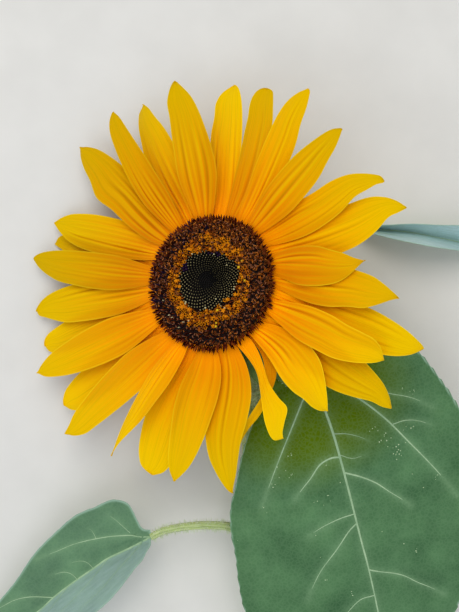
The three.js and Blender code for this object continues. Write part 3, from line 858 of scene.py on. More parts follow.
RAYS = (
    Ray(99.2, 118.6, -1.5, 0, 2, (2.4, 5.5, 8.6, 9.6, 11.2, 12.3, 12.1, 8.7, 4.2),
        (0.8, 3.1, 6.1, 8.3, 9.9, 11.2, 11.4, 8.5, 4.2), tone=0.88, amber=0.03),
    Ray(85.5, 117.5, 0, 3, 0, (2.6, 7.6, 10.7, 11.1, 12.5, 12.2, 11.1, 8.5, 4.2),
        (2.7, 4.6, 6.2, 7.5, 8.6, 9.2, 9.3, 8, 4.2), tone=1.07, amber=-0.09, folds=0.7),
    Ray(73.5, 114.3, -3, 2, 1, (4.1, 7.3, 9, 9, 9.6, 9.4, 8.6, 6.6, 3.3),
        (3.5, 4.6, 5.6, 7, 7.8, 8, 7.8, 6.4, 3.3), tone=0.85, amber=0.1, folds=0.5),
    Ray(61, 119.3, -2, 1, 0, (1.6, 5.3, 8.9, 10.9, 11.2, 10.6, 9.3, 6.7, 3.2),
        (1.5, 2.5, 3.5, 4, 5.8, 6.5, 6.8, 6, 3.2), tone=0.98, amber=0.06, folds=0.6),
    Ray(44.5, 109.9, -2, 0, 2, (1.6, 4.3, 6.5, 8.5, 10.4, 11.2, 10.7, 7.5, 3.6),
        (0.6, 2.1, 3.9, 5.5, 7.9, 9, 9.3, 7.1, 3.6), tone=0.87, amber=0.06, folds=0.7),
    Ray(26.2, 110.1, -3.5, 1, 1, (3, 5.7, 9.1, 12.4, 13.4, 11.8, 10.9, 7.3, 3.4),
        (0.6, -0.2, 0.1, 0.7, 4.5, 6.6, 7.6, 6.4, 3.4), tone=0.95, folds=0.7),
    Ray(17.8, 114.2, -3, 2, 0, (1.6, 5.4, 9.5, 12.4, 12.8, 12.3, 11, 8.2, 4.2),
        (0.3, 0.9, 1.8, 6.9, 10.6, 11.8, 11.7, 8.6, 4.2), tone=1.04, amber=-0.03, folds=0.6),
    Ray(4.6, 88.8, -2, 0, 0, (0.2, 0.8, 2.1, 4.6, 6.8, 9.3, 9.6, 7.4, 3.9),
        (0.9, 3.4, 7.2, 10.6, 12.2, 12.6, 11.8, 8.6, 4.2), tone=0.9, amber=0.22, folds=0.7),
    Ray(-7.4, 106.9, -2, 0.6, 3, (1, 2.9, 5.8, 9, 10.7, 11.6, 11.2, 7.9, 3.8),
        (0.4, 1.9, 4.9, 8.1, 8.9, 10.6, 10.4, 7.7, 3.8), tone=0.91, amber=0.08, folds=0.9),
    Ray(-18.6, 122.7, -3.5, 1.3, 0, (1.5, 3.4, 6, 8.5, 10.5, 11, 10.4, 7.5, 3.9),
        (2.4, 5.5, 8.3, 10.2, 11.2, 11.5, 10.7, 7.6, 3.9), tone=1.02, amber=-0.1, folds=1.3),
    Ray(-24.4, 107.8, -1, 0, 2, (2.2, 5.3, 7.6, 8.2, 8.6, 9.8, 9.4, 6.6, 3.1),
        (1.1, 3.5, 6, 8.5, 10.3, 10.2, 9.6, 6.6, 3.1), tone=1.06, amber=0.07),
    Ray(-34.9, 120.5, 0, 2, 0, (1.8, 5.1, 8.4, 10.7, 12.7, 13.6, 13, 9.1, 4.3),
        (0.8, 2.3, 3.4, 6.8, 10, 11.3, 11.5, 8.7, 4.3), tone=0.93, folds=1.2),
    Ray(-46.6, 96.9, 5, 1, 1, (0.5, 2.3, 4.8, 7.9, 10.7, 11.2, 10.6, 7.6, 4),
        (1.2, 4.3, 7.1, 9.1, 12.2, 12.9, 10.7, 7.7, 4), tone=1.09),
    Ray(-84.4, 95.9, 9, 3, -3, (-0.4, -1.5, -2.9, -3.1, -1, 0.5, 3, 3, 4),
        (0.6, 2.2, 4.2, 5.6, 5.3, 3.3, 3, 3.4, 4), root=-54, tone=0.9, amber=-0.03, folds=0.5),
    Ray(-63.1, 94.9, 3, 1, 3, (0.1, 0.6, 3, 6.2, 3.2, 1.3, 2.5, 4, 4.6),
        (5.2, 7.2, 8.1, 8.3, 7.3, 5.5, 3.4, 3.6, 4.6), root=-62, tone=1.11, amber=-0.05, folds=0.4),
    Ray(-84.5, 115.9, 0, 2, 0, (0.2, 0.8, 2, 3, 4.6, 8.3, 11.4, 10.2, 5.6),
        (2.9, 6.4, 10.6, 14.7, 16.6, 16, 13, 8.5, 4.8), root=-78, tone=0.93, amber=-0.06, folds=0.6),
    Ray(-101.2, 111.9, -1.5, 1, 1, (0.8, 2.9, 5.8, 8.2, 10.1, 11.5, 12.1, 10.2, 4.4),
        (1, 4.2, 7.1, 9.3, 11.3, 13, 12.5, 9.1, 4.4), amber=-0.03, folds=0.4),
    Ray(-111.2, 115.8, -1, 3, 0, (1.9, 5.7, 8, 8.6, 8.4, 8, 7.6, 6.5, 4.1),
        (7.7, 11.4, 14.2, 16.1, 17.4, 16.5, 14, 8.6, 4.1), tone=1.06, amber=-0.07, folds=0.5),
    Ray(-121.4, 113.1, -2, 0, 2, (-0.1, -0.1, 0.5, 2.5, 5, 6.3, 7, 5.8, 3.1),
        (0.4, 1.6, 3.2, 4.9, 6.4, 7.4, 7.8, 6, 3.1), tone=1.15, amber=-0.06, folds=0.4),
    Ray(-138.1, 127.2, -4, 1, 0, (1.6, 5.4, 8.8, 10.1, 11.4, 12.4, 12, 8.6, 4.2),
        (0.6, 2.1, 5.2, 7.2, 9.1, 10.4, 10.8, 8.3, 4.2), tone=1.03, folds=0.5),
    Ray(-146.1, 123.3, 0, 3, 1, (2.8, 6, 10.1, 12.3, 13.2, 13.2, 11.9, 8.1, 4.1),
        (3.7, 7.5, 10.2, 12.3, 13.2, 13.2, 12, 8.1, 4.1), tone=1.1, folds=0.5),
    Ray(-156.9, 124.5, -1, 1, 2, (1, 4.4, 7, 9.4, 11.1, 11.9, 11.4, 8, 3.8),
        (0.7, 3.8, 7, 9.3, 11, 11.8, 11.3, 8, 3.8), tone=0.98, folds=0.7),
    Ray(-164.6, 121.5, 0, 3, 1, (3.2, 6.1, 10.3, 12.2, 12.9, 12.6, 11.1, 7.2, 3.6),
        (4, 6.8, 8.6, 10.4, 11.3, 11.3, 10.3, 7, 3.6), tone=1.12, amber=-0.07, folds=0.6),
    Ray(-174.7, 119.8, 0, 2, 2, (2.7, 4.3, 7, 10.1, 11.3, 11.8, 11.2, 8.1, 4.2),
        (2.5, 6.1, 9.2, 11.2, 12.3, 12.6, 11.7, 8.2, 4.2), tone=0.93, amber=-0.07, folds=1),
    Ray(169.9, 120.8, 1, 1, 2, (1.6, 4.9, 8.1, 10.7, 11.3, 11.6, 10.8, 7.6, 3.9),
        (2.1, 4.4, 6.5, 8.2, 9.4, 10.1, 9.9, 7.3, 3.9), tone=0.82, folds=1.1),
    Ray(164, 115.6, 0, 3, 1, (0.8, 2.4, 4.6, 6.2, 7.6, 8.4, 8.4, 6.2, 3.1),
        (4, 6.3, 7.6, 8.2, 8.6, 8.8, 8.5, 6.2, 3.1), tone=0.95, amber=0.05),
    Ray(157.9, 116.6, 2.5, 2, 2, (1.4, 4.8, 8.7, 11.2, 12.1, 12, 11, 8.6, 4.3),
        (1.1, 4, 7.1, 9.1, 10.5, 10.9, 10.4, 8.4, 4.3), tone=0.96, amber=-0.03, folds=1.1),
    Ray(134.7, 123.7, 3.5, 1, 2, (1, 4, 6.6, 8.5, 12, 10, 9.9, 8.4, 4.4),
        (1.1, 4.6, 8.2, 10.8, 12.6, 12.4, 11.4, 8.8, 4.4), tone=0.83, amber=0.08, folds=1),
    Ray(120.1, 121.5, 2, 0, 1, (2.5, 5.5, 7.6, 8.5, 9.2, 9.8, 9.3, 6.4, 3.1),
        (0.5, 1.9, 2.7, 3.7, 5, 6.3, 7, 5.8, 3.1), tone=0.82, amber=0.09, folds=1),
    Ray(113.1, 120.7, 1.5, 2, 0, (4.5, 7, 9.2, 10.8, 12.5, 13, 11.9, 7.9, 3.7),
        (1.3, 3, 4.3, 6.6, 8.2, 9.4, 9.6, 7.3, 3.7), tone=0.98),
)


@dataclass
class RayCrown:
    """The ring of ray florets: one every 12 degrees, clockwise from the top, on four levels.

    top_level, level_step, level_lean: the front level's height, the drop to the next and how far each leans.
    gathered: how near the levels come to one another at their roots.
    straight, turned, turned_at: how a ray's course leaves its root and turns to its tip.
    front_glow_reach, behind_shade_reach: how far the painted light and painted shade of neighbours reach, in
    mm.
    creases: across, depth (mm) and width of each crease, varied from ray to ray.
    """

    pitch: float = 12.0
    first_turn: float = 98.0
    top_level: float = -1.1
    level_step: float = 2.05
    gathered: float = 0.42
    level_lean: tuple = (4.5, 2.2, -0.2, -2.6)
    arch: float = 0.6
    straight: float = 0.25
    turned: float = 0.6
    turned_at: float = 0.62
    root_inset: float = 0.02
    thickness: float = 0.5
    clearance: float = 0.4
    front_glow_reach: float = 2.4
    behind_shade_reach: float = 4.5
    # Painted light that brightens each ray towards its root.
    root_painted_light: float = 1.22
    rows: int = 64
    columns: int = 43
    creases: tuple = (
        (-0.5, 0.52, 0.075), (-0.03, 0.6, 0.08), (0.45, 0.52, 0.075), (-0.78, 0.2, 0.06), (-0.26, 0.2, 0.06),
        (0.2, 0.2, 0.06), (0.72, 0.2, 0.06),
    )

    def course(self, ray: Ray, index: int, u: Array) -> tuple[Array, Array]:
        """Course of a ray.

        Args:
            ray: which ray.
            index: its place in the ring.
            u: share of its length, from its root.

        Returns:
            Places in the bloom's frame, and the directions to its left.
        """
        turn = self.first_turn - self.pitch * index if ray.root is None else ray.root
        aim = ray.tip + 360 * round((turn - ray.tip) / 360)
        straight = polar(mix(WALL_RADIUS, ray.reach, self.straight), turn)
        bent = polar(mix(WALL_RADIUS, ray.reach, self.turned_at), mix(turn, aim, self.turned))
        place, along = bezier([polar(WALL_RADIUS + 0.3, turn), straight, bent, polar(ray.reach, ray.tip)], u)
        side = np.stack([-along[:, 1], along[:, 0], np.zeros(len(u))], axis=1)
        place = place + side * (ray.bow * np.sin(np.pi * np.clip(u, 0, 1)))[:, None]
        lean = np.interp(ray.level, range(len(self.level_lean)), self.level_lean)
        rise = math.tan(math.radians(lean)) * (ray.reach - WALL_RADIUS)
        depth = self.level_step * ray.level * mix(self.gathered, 1.0, smooth(u, 0.0, 0.35))
        place[:, 2] = self.top_level - depth + rise * u + ray.curl * u**3
        return place, side

    def middle(self, ray: Ray, index: int, u: Array, v: Array) -> Array:
        """Smooth middle surface of a ray.

        Args:
            ray: which ray.
            index: its place in the ring.
            u: share of its length, from its root.
            v: share of its half width, from -1 at its right edge to 1 at its left.

        Returns:
            Places in the bloom's frame.
        """
        place, side = self.course(ray, index, u)
        near = np.sqrt(1 - np.clip(u, 0, 1))
        left, right = (flowing((0.0, *half), near) for half in (ray.left, ray.right))
        across = (left - right) / 2 + v * (left + right) / 2
        place = place + side * across[:, None]
        swell = np.sin(np.pi * np.clip(u, 0, 1))
        place[:, 2] -= self.arch * v * v * swell
        return place

    def relief(self, ray: Ray, u: Array, v: Array, rng: Rng) -> tuple[Array, Array]:
        """Creases and pleats along a ray, its bent section, and the waves of its edges.

        Args:
            ray: which ray.
            u: share of its length at each place.
            v: share of its half width there.
            rng: where its small differences come from.

        Returns:
            The height off its smooth surface in mm, and from -1 in a crease's depth to 1 on a ridge.
        """
        lift, fold = np.zeros_like(u), np.zeros_like(u)
        fade = mix(0.4, 1.0, smooth(u, 0.0, 0.22)) * (1 - smooth(u, 0.8, 0.985))
        slim = mix(0.45, 1.0, smooth(u, 0.0, 0.4))
        for at, depth, width in self.creases:
            at += rng.normal(0, 0.06)
            depth *= rng.uniform(0.3, 1.6)
            width *= rng.uniform(0.8, 1.5)
            end = rng.uniform(0.6, 1.25)
            drift = 0.06 * np.sin(2.4 * u + rng.uniform(0, 6))
            away = (v - at - drift) / width
            line = (1 - away**2) * np.exp(-(away**2) / 2)
            strength = ray.folds * depth * fade * mix(1.0, 0.55, smooth(u, 0.3, 0.75))
            strength = strength * (1 - smooth(u, end - 0.35, end))
            lift -= line * strength * slim
            fold -= line * strength / 0.5
        pleat = np.cos(np.pi * rng.uniform(5.5, 8) * (v + 0.05 * np.sin(4 * u)) + rng.uniform(0, 6))
        near = fade * (1 - smooth(u, 0.12, 0.45))
        lift += 0.05 * pleat * near
        fold += 0.1 * pleat * near
        swing = np.sin(2 * np.pi * (u * rng.uniform(0.9, 1.5) + rng.uniform(0, 1)))
        lift += 0.8 * swing * np.sign(v) * np.abs(v) ** 2.5 * smooth(u, 0.25, 0.6)
        outer = smooth(u, 0.08, 0.5)
        lift += rng.normal(0, 0.7) * (np.hypot(v, 0.12) - 0.12) * outer
        lift += rng.normal(0, 0.8) * v * outer + rng.uniform(-0.5, 0.5) * np.sin(np.pi * np.clip(u, 0, 1))
        lift += 0.3 * smooth(np.abs(v), 0.86, 1.0) * outer
        return lift, np.clip(fold, -1, 1)

    def cover(self, number: int, points: Array) -> tuple[Array, Array]:
        """Where other rays lie behind and in front of one, for painted shade and painted light.

        Args:
            number: this ray's place in the ring.
            points: places in the bloom's frame.

        Returns:
            How thickly rays behind keep light from coming through, and how near the edge of one in front is,
            both from 0 to 1.
        """
        flat = points[:, :2]
        behind, front = np.zeros(len(flat)), np.zeros(len(flat))
        u = 1 - np.linspace(1, 0, 40) ** 1.5
        # Masks for painted shade where rays lie behind and painted light beside the edge of a ray in front.
        for hop in (-4, -3, -2, -1, 1, 2, 3, 4):
            index = (number + hop) % len(RAYS)
            other = RAYS[index]
            left, right = (self.middle(other, index, u, np.full(40, side))[:, :2] for side in (1.0, -1.0))
            loop = np.vstack([left, right[::-1]])
            away = gap(flat, loop)
            if other.level < RAYS[number].level:
                front = np.maximum(front, np.exp(-((away / self.front_glow_reach) ** 2)))
                continue
            inside = np.zeros(len(flat), bool)
            for (ax, ay), (bx, by) in zip(loop, np.roll(loop, -1, axis=0)):
                slant = (bx - ax) / (by - ay) if by != ay else 0.0
                crosses = (ay > flat[:, 1]) != (by > flat[:, 1])
                inside ^= crosses & (flat[:, 0] < ax + slant * (flat[:, 1] - ay))
            behind += 0.6 * inside * smooth(away, 0, self.behind_shade_reach)
        return np.minimum(behind, 1.0), front

    def surface(self, ray: Ray, index: int, rng: Rng) -> tuple[Array, dict]:
        """Fine middle surface of a ray.

        Args:
            ray: which ray.
            index: its place in the ring.
            rng: where its small differences come from.

        Returns:
            A grid of places in the plant's frame, and the numbers that its finish reads.
        """
        u = 1 - np.linspace(1, 0.0005, self.rows) ** 1.5
        u[0] = -self.root_inset
        u, v = np.meshgrid(u, np.linspace(-1, 1, self.columns), indexing="ij")
        flat = self.middle(ray, index, u.ravel(), v.ravel()).reshape(*u.shape, 3)
        lift, fold = self.relief(ray, u, v, rng)
        behind, front = (part.reshape(u.shape) for part in self.cover(index, flat.reshape(-1, 3)))
        flat[..., 2] += lift
        grid = on_face(flat.reshape(-1, 3)).reshape(flat.shape)
        above = grid[..., 2] + SHIFT[2] - self.clearance
        below = CAD_BOX[1][2] / MM - SHIFT[2] - self.clearance - grid[..., 2]
        grid[..., 2] += (np.hypot(above, 1.0) - above - np.hypot(below, 1.0) + below) / 2
        same = np.ones_like(u)
        # Tone: the ray's brightness, in part painted light, with more painted light towards the root.
        tone = ray.tone * rng.uniform(0.96, 1.04) * mix(self.root_painted_light, 1.0, smooth(u, 0, 0.3))
        values = {"along": u, "across": v, "fold": fold, "behind": behind, "front": front * (1 - u)}
        values |= {"tone": tone, "amber": ray.amber * same, "seed": rng.uniform(0, 40) * same}
        return grid, values

    def build(self) -> None:
        """Makes one piece for each ray."""
        for index, ray in enumerate(RAYS):
            grid, values = self.surface(ray, index, np.random.default_rng(500 + index))
            thin = 1 - 0.75 * np.abs(values["across"]) ** 5
            thickness = self.thickness * thin * mix(1.25, 0.8, smooth(values["along"], 0.0, 0.5))
            shape = Shape()
            shell(shape, grid, thickness, **values)
            name = f"{index + 1:02d}"
            shape.settle(f"petal_{name}", (Finish.RAY,), "ray_petal", f"ray_{name}")


# The disc

@dataclass
class SeedDisc:
    """The brown disc: a dark bed, closed buds in a spiral in its eye, then open florets and spent ones.

    eye_offset: where the spiral's centre lies.
    eye_edge, open_edge: how far the eye and the ring of open florets reach, every 30 degrees from +X.
    open_share: how much of that ring is open there.
    lit_places: florets that carry a cream grain.
    gold_places: ones thick with pollen.
    violet_places: buds that shine violet.
    spacing: radii, and how far apart the florets stand there; bed: the bed's radii and heights.
    spent_lean: radii, and how many degrees the outer florets lean outward there.
    warm_side, cool_side: where the outer florets are brownest and most violet, in degrees from +X.
    tooth_feet, tooth_heights: from the rim's lowest teeth to its highest; tooth_tilts: degrees from upright.
    bud_body to tooth: radii and heights of the florets' parts, as shares of their size.
    """

    radius: float = 37.8
    reach: float = 35.9
    eye_offset: tuple = (4.4, 2.6)
    eye_edge: tuple = (18.6, 19.6, 17.2, 17.0, 19.0, 18.5, 17.4, 16.9, 16.6, 15.6, 14.6, 16.8)
    open_edge: tuple = (25.5, 27.0, 26.4, 26.8, 26.2, 24.8, 24.0, 23.8, 25.0, 26.0, 24.7, 24.0)
    open_share: tuple = (0.45, 0.6, 0.8, 0.9, 0.95, 0.95, 0.95, 0.92, 0.88, 0.8, 0.75, 0.5)
    lit_places: tuple = (
        (-8.9, 16.4), (5.4, 15.6), (12.7, 9.0), (-12.5, -11.3), (-1.1, -14.0), (17.7, -4.1), (7.0, -9.9),
        (10.3, -13.7), (-27.2, -9.6), (-21.8, -15.7), (-20.9, -18.3), (-11.5, -21.4), (-16.4, -24.6),
    )
    gold_places: tuple = (
        (18.6, 7.9), (19.6, 8.9), (5.5, -23.9), (6.6, -23.0), (21.2, 0.1), (6.7, -15.7), (-8, 24),
    )
    violet_places: tuple = ((2.2, 17.4), (7.6, 16.4), (-14.0, 9.5))
    spacing: tuple = ((0.0, 6.0, 16.0, 26.0, 38.0), (0.95, 1.2, 1.7, 1.5, 1.3))
    bed: tuple = (
        (0.0, 8.0, 15.0, 19.6, 25.7, 32.0, 36.0, 37.2), (6.0, 5.7, 4.7, 3.7, 4.1, 3.6, 1.9, 0.2),
    )
    bed_edge: float = 35.2
    bed_foot: tuple = (34.4, -0.2)
    bed_sides: int = 96
    rim_teeth: int = 360
    tooth_feet: tuple = (36.0, 34.4)
    tooth_heights: tuple = (0.4, 2.4)
    tooth_tilts: tuple = (86, 52)
    floret_match: float = 1.5
    violet_reach: float = 2.4
    spent_lean: tuple = ((20, 28, 33, 36), (2, 8, 24, 48))
    warm_side: float = 55.0
    cool_side: float = 165.0
    bud_body: tuple = ((0.4, 0.0), (0.44, 0.45), (0.34, 0.8), (0.12, 0.98))
    bud_crown: tuple = ((0.16, 0.84), (0.2, 0.98), (0.1, 1.1))
    anther_tube: tuple = ((0.26, 0.0), (0.3, 1.05), (0.18, 1.24))
    pollen_head: tuple = ((0.1, 0.9), (0.42, 1.08), (0.36, 1.3), (0.12, 1.42))
    dry_tube: tuple = ((0.32, 0.0), (0.38, 0.6), (0.3, 0.88), (0.1, 1.02))
    tooth: tuple = ((0.34, 0.0), (0.42, 0.35), (0.3, 0.68), (0.03, 1.0))

    def bed_height(self, radius: Array) -> Array:
        """Height of the bed at a radius."""
        return np.interp(radius, *self.bed)

    def build_bed(self) -> None:
        """Makes the dark bed that the florets stand on."""
        fine = np.linspace(self.bed_edge, 0.4, 60)
        profile = (self.bed_foot, *zip(fine, self.bed_height(fine)))
        points, faces = turned_body(profile, self.bed_sides)
        shape = Shape()
        shape.add(on_face(points), faces)
        shape.settle("disc_bed", (Finish.BED,), "disc_floret", "disc")

    def spiral(self) -> tuple:
        """Places of the florets on golden-angle spirals that open out from the eye.

        Returns:
            Their places across the face, outward directions and spacings.
        """
        radii = np.linspace(0.0, self.reach, 400)
        spacing = np.interp(radii, *self.spacing)
        density = 2 * np.pi * radii / (spacing**2 * 0.95)
        total = np.concatenate([[0.0], np.cumsum((density[1:] + density[:-1]) / 2 * np.diff(radii))])
        number = np.arange(int(total[-1])) + 0.5
        r = np.interp(number, total, radii)
        turn = number * GOLDEN_TURN
        out = np.stack([np.cos(turn), np.sin(turn)], axis=1)
        shift = np.outer(1 - (r / self.radius) ** 2, self.eye_offset)
        return out * r[:, None] + shift, out, np.interp(r, radii, spacing)

    def stand(self, place: Array, out: Array, rng: Rng, lean: Array, sway: float) -> tuple:
        """Feet and axes of florets.

        Args:
            place: their places across the face.
            out: their outward directions.
            rng: where their sway comes from.
            lean: degrees that each leans outward.
            sway: degrees of random sway.

        Returns:
            Their feet and axes in the plant's frame.
        """
        axis = self.leaning(out, np.radians(lean))
        axis += rng.normal(0, math.radians(sway), axis.shape)
        feet = np.column_stack([place, self.bed_height(np.linalg.norm(place, axis=1)) - 0.3])
        return on_face(feet), unit(axis) @ FACE.T

    def leaning(self, out: Array, tilt: Array) -> Array:
        """Directions that lean outward from upright by some radians."""
        return np.column_stack([out * np.sin(tilt)[:, None], np.cos(tilt)])

    def nearest(self, places: tuple, florets: Array) -> Array:
        """Which florets stand nearest to some places.

        Args:
            places: those places across the face.
            florets: the florets' places.

        Returns:
            True for each floret that is nearest to one of them and within reach of it.
        """
        gaps = np.linalg.norm(florets[None] - np.array(places)[:, None], axis=2)
        return np.isin(np.arange(len(florets)), gaps.argmin(axis=1)[gaps.min(axis=1) < self.floret_match])

    def build_florets(self) -> None:
        """Makes the florets, joined by kind: eye buds, open florets and spent florets."""
        rng = np.random.default_rng(77)
        place, out, spacing = self.spiral()
        radius, turn = np.hypot(*place.T), np.arctan2(place[:, 1], place[:, 0])
        around = np.linspace(0, 2 * np.pi, 12, endpoint=False)
        eye, ring, share = (
            np.interp(turn, around, rows, period=2 * np.pi)
            for rows in (self.eye_edge, self.open_edge, self.open_share)
        )
        in_eye = radius < eye + rng.normal(0, 0.3, len(radius))
        in_ring = ~in_eye & (radius < ring + rng.normal(0, 0.8, len(radius)))
        clump = sum(np.sin(place @ rng.normal(0, 0.9, 2) + rng.uniform(0, 6)) for _ in range(6)) / 6
        is_open = in_ring & (rng.uniform(0, 1, len(radius)) + 0.7 * clump < share)
        spent = ~in_eye & ~is_open
        self.build_buds(place[in_eye], out[in_eye], spacing[in_eye], (radius / eye)[in_eye], rng)
        self.build_open(place[is_open], out[is_open], rng)
        self.build_spent(place[spent], radius[spent], out[spent], turn[spent], rng)

    def build_buds(self, place: Array, out: Array, spacing: Array, share: Array, rng: Rng) -> None:
        """Makes the eye's closed buds, black in its middle, with tips that grow larger and paler to its edge.

        Args:
            place: their places across the face.
            out: their outward directions.
            spacing: how far apart they stand.
            share: how far each is from the eye's middle to its edge.
            rng: where their small differences come from.
        """
        feet, axes = self.stand(place, out, rng, 0 * share, 2)
        count = len(feet)
        spins = rng.uniform(0, SPIN, count)
        low = np.clip(-place[:, 1] / 16, -1, 1)
        length = mix(1.4, 2.5, share) * rng.uniform(0.92, 1.08, count)
        frames = frames_for(axes, spins, spacing, length)
        shape = Shape()
        body = turned_body(self.bud_body, 6)
        violet = gap(place, np.array(self.violet_places)) < self.violet_reach
        for kind, chosen in ((0, ~violet), (3, violet)):
            shape.add_copies(*body, frames[chosen], feet[chosen], kind)
        crown = turned_body(self.bud_crown, 5)
        size = mix(0.72, 1.15, share) + 0.16 * low * share
        crowns = frames_for(axes, spins, spacing * size, length)
        pale = share - 0.06 + 0.2 * low + rng.normal(0, 0.06, count)
        lit = self.nearest(self.lit_places, place)
        for kind, chosen in ((1, (pale > 0.22) & (pale < 0.58)), (2, pale >= 0.58)):
            chosen = chosen & ~violet & ~lit
            shape.add_copies(*crown, crowns[chosen], feet[chosen], kind)
        shape.add_copies(*crown, crowns[lit] * 1.35, feet[lit], 4)
        finishes = (Finish.BUD, Finish.BUD_DIM, Finish.BUD_TIP, Finish.ANTHER_VIOLET, Finish.GRAIN)
        shape.settle("eye_buds", finishes, "disc_floret")

    def corolla(self) -> tuple[Array, Array]:
        """Five pointed lobes that spread from a short tube.

        Returns:
            Points and faces of unit size.
        """
        points, faces = turned_body(((0.3, 0.0), (0.36, 0.75)), 5)
        points, faces = [points], [faces]
        start = len(points[0])
        for k in range(5):
            turn = k * 2 * np.pi / 5
            c, s = math.cos(turn), math.sin(turn)
            lobe = np.array([(0.3, -0.36, 0.74), (0.3, 0.36, 0.74), (0.98, 0.0, 0.94), (0.4, 0.0, 0.5)])
            points.append(lobe @ np.array([[c, s, 0], [-s, c, 0], [0, 0, 1]]))
            faces.append(np.array([(0, 2, 1), (0, 3, 2), (1, 2, 3), (0, 1, 3)])[:, ::-1] + start)
            start += 4
        return np.vstack(points), np.vstack(faces)

    def arms(self) -> tuple[Array, Array]:
        """Two curled stigma arms on a short style.

        Returns:
            Points and faces of unit size.
        """
        points, faces, start = [], [], 0
        for side in (1, -1):
            bend = [(0, 0, 0), (0.1 * side, 0, 0.5), (0.5 * side, 0, 0.85), (0.85 * side, 0, 0.55)]
            line = smooth_line(bend, 3)
            girth = np.linspace(0.3, 0.16, len(line))
            arm, skin = sweep(line, np.array([0.0, 1.0, 0.0]), girth, girth, 4)
            points.append(arm)
            faces.append(skin + start)
            start += len(arm)
        return np.vstack(points), np.vstack(faces)

    def build_open(self, place: Array, out: Array, rng: Rng) -> None:
        """Makes the ring of open florets: orange lobes round dark throats, anthers or heads of pollen.

        Args:
            place: their places across the face.
            out: their outward directions.
            rng: where their small differences come from.
        """
        feet, axes = self.stand(place, out, rng, np.full(len(place), 2.0), 11)
        count = len(feet)
        spins = rng.uniform(0, SPIN, count)
        frames = frames_for(axes, spins, rng.uniform(1.15, 1.6, count), rng.uniform(1.7, 2.9, count))
        gold, lit = (self.nearest(places, place) for places in (self.gold_places, self.lit_places))
        shape = Shape()
        tone = rng.uniform(0, 1, count)
        for kind, chosen in ((0, tone < 0.5), (1, (tone >= 0.5) & (tone < 0.85)), (5, tone >= 0.85)):
            shape.add_copies(*self.corolla(), frames[chosen], feet[chosen], kind)
        inside = rng.uniform(0, 1, count)
        tube = turned_body(self.anther_tube, 5)
        tall = (inside < 0.58) & ~gold & ~lit
        shape.add_copies(*tube, frames[tall], feet[tall], 2)
        dust = turned_body(self.pollen_head, 6)
        dusty = (inside > 0.78) & ~gold & ~lit
        shape.add_copies(*dust, frames[dusty], feet[dusty], 0)
        shape.add_copies(*dust, frames[gold] * 1.25, feet[gold], 3)
        shape.add_copies(*dust, frames[lit] * 0.8, feet[lit], 4)
        finishes = (
            Finish.COROLLA, Finish.COROLLA_DEEP, Finish.ANTHER, Finish.POLLEN, Finish.GRAIN,
            Finish.COROLLA_BROWN,
        )
        shape.settle("open_florets", finishes, "disc_floret")

    def build_spent(self, place: Array, radius: Array, out: Array, turn: Array, rng: Rng) -> None:
        """Makes the outer ring: tubes from violet to brown with curled arms, and pointed teeth over its rim.

        Args:
            place: their places across the face.
            radius: how far they are from its middle.
            out: their outward directions.
            turn: their turns from +X, in radians.
            rng: where their small differences come from.
        """
        lean = np.interp(radius, *self.spent_lean)
        feet, axes = self.stand(place, out, rng, lean, 10)
        count = len(feet)
        spins = rng.uniform(0, SPIN, count)
        length = rng.uniform(2.3, 3.9, count)
        frames = frames_for(axes, spins, rng.uniform(0.75, 1.0, count), length)
        warm = 0.5 + 0.5 * np.cos(turn - math.radians(self.warm_side))
        cool = np.clip(np.cos(turn - math.radians(self.cool_side)), 0, 1)
        shape = Shape()
        tube = turned_body(self.dry_tube, 5)
        kind = rng.uniform(0, 1, count)
        brown, violet = kind < 0.2 + 0.35 * warm, kind > 1 - 0.3 * cool
        for slot, chosen in ((0, ~brown & ~violet), (1, brown & ~violet), (2, violet)):
            shape.add_copies(*tube, frames[chosen], feet[chosen], slot)
        tips = feet + axes * (length * 0.9)[:, None]
        arms = frames_for(axes, spins, rng.uniform(0.6, 0.9, count), rng.uniform(0.5, 0.85, count))
        shown = rng.uniform(0, 1, count)
        mauve = (shown < 0.3) & (radius < 33)
        tawny = (shown > 0.9 - 0.3 * warm) & (radius < 34)
        shape.add_copies(*self.arms(), arms[mauve], tips[mauve], 3)
        shape.add_copies(*self.arms(), arms[tawny], tips[tawny], 4)
        cup = rng.uniform(0, 1, count)
        low = frames_for(axes, spins, rng.uniform(0.8, 1.05, count), rng.uniform(1.7, 2.7, count))
        for slot, chosen in ((5, cup < 0.03 + 0.12 * warm), (7, (cup > 0.3) & (cup < 0.5 + 0.45 * warm))):
            shape.add_copies(*self.corolla(), low[chosen], feet[chosen], slot)
        lit = self.nearest(self.lit_places, place)
        shape.add_copies(*tube, frames[lit] * 0.7, tips[lit], 6)
        self.add_teeth(shape, rng)
        finishes = (
            Finish.ANTHER, Finish.ANTHER_BROWN, Finish.ANTHER_VIOLET, Finish.STIGMA_MAUVE, Finish.STIGMA,
            Finish.COROLLA_DEEP, Finish.GRAIN, Finish.COROLLA_BROWN,
        )
        shape.settle("spent_florets", finishes, "disc_floret")

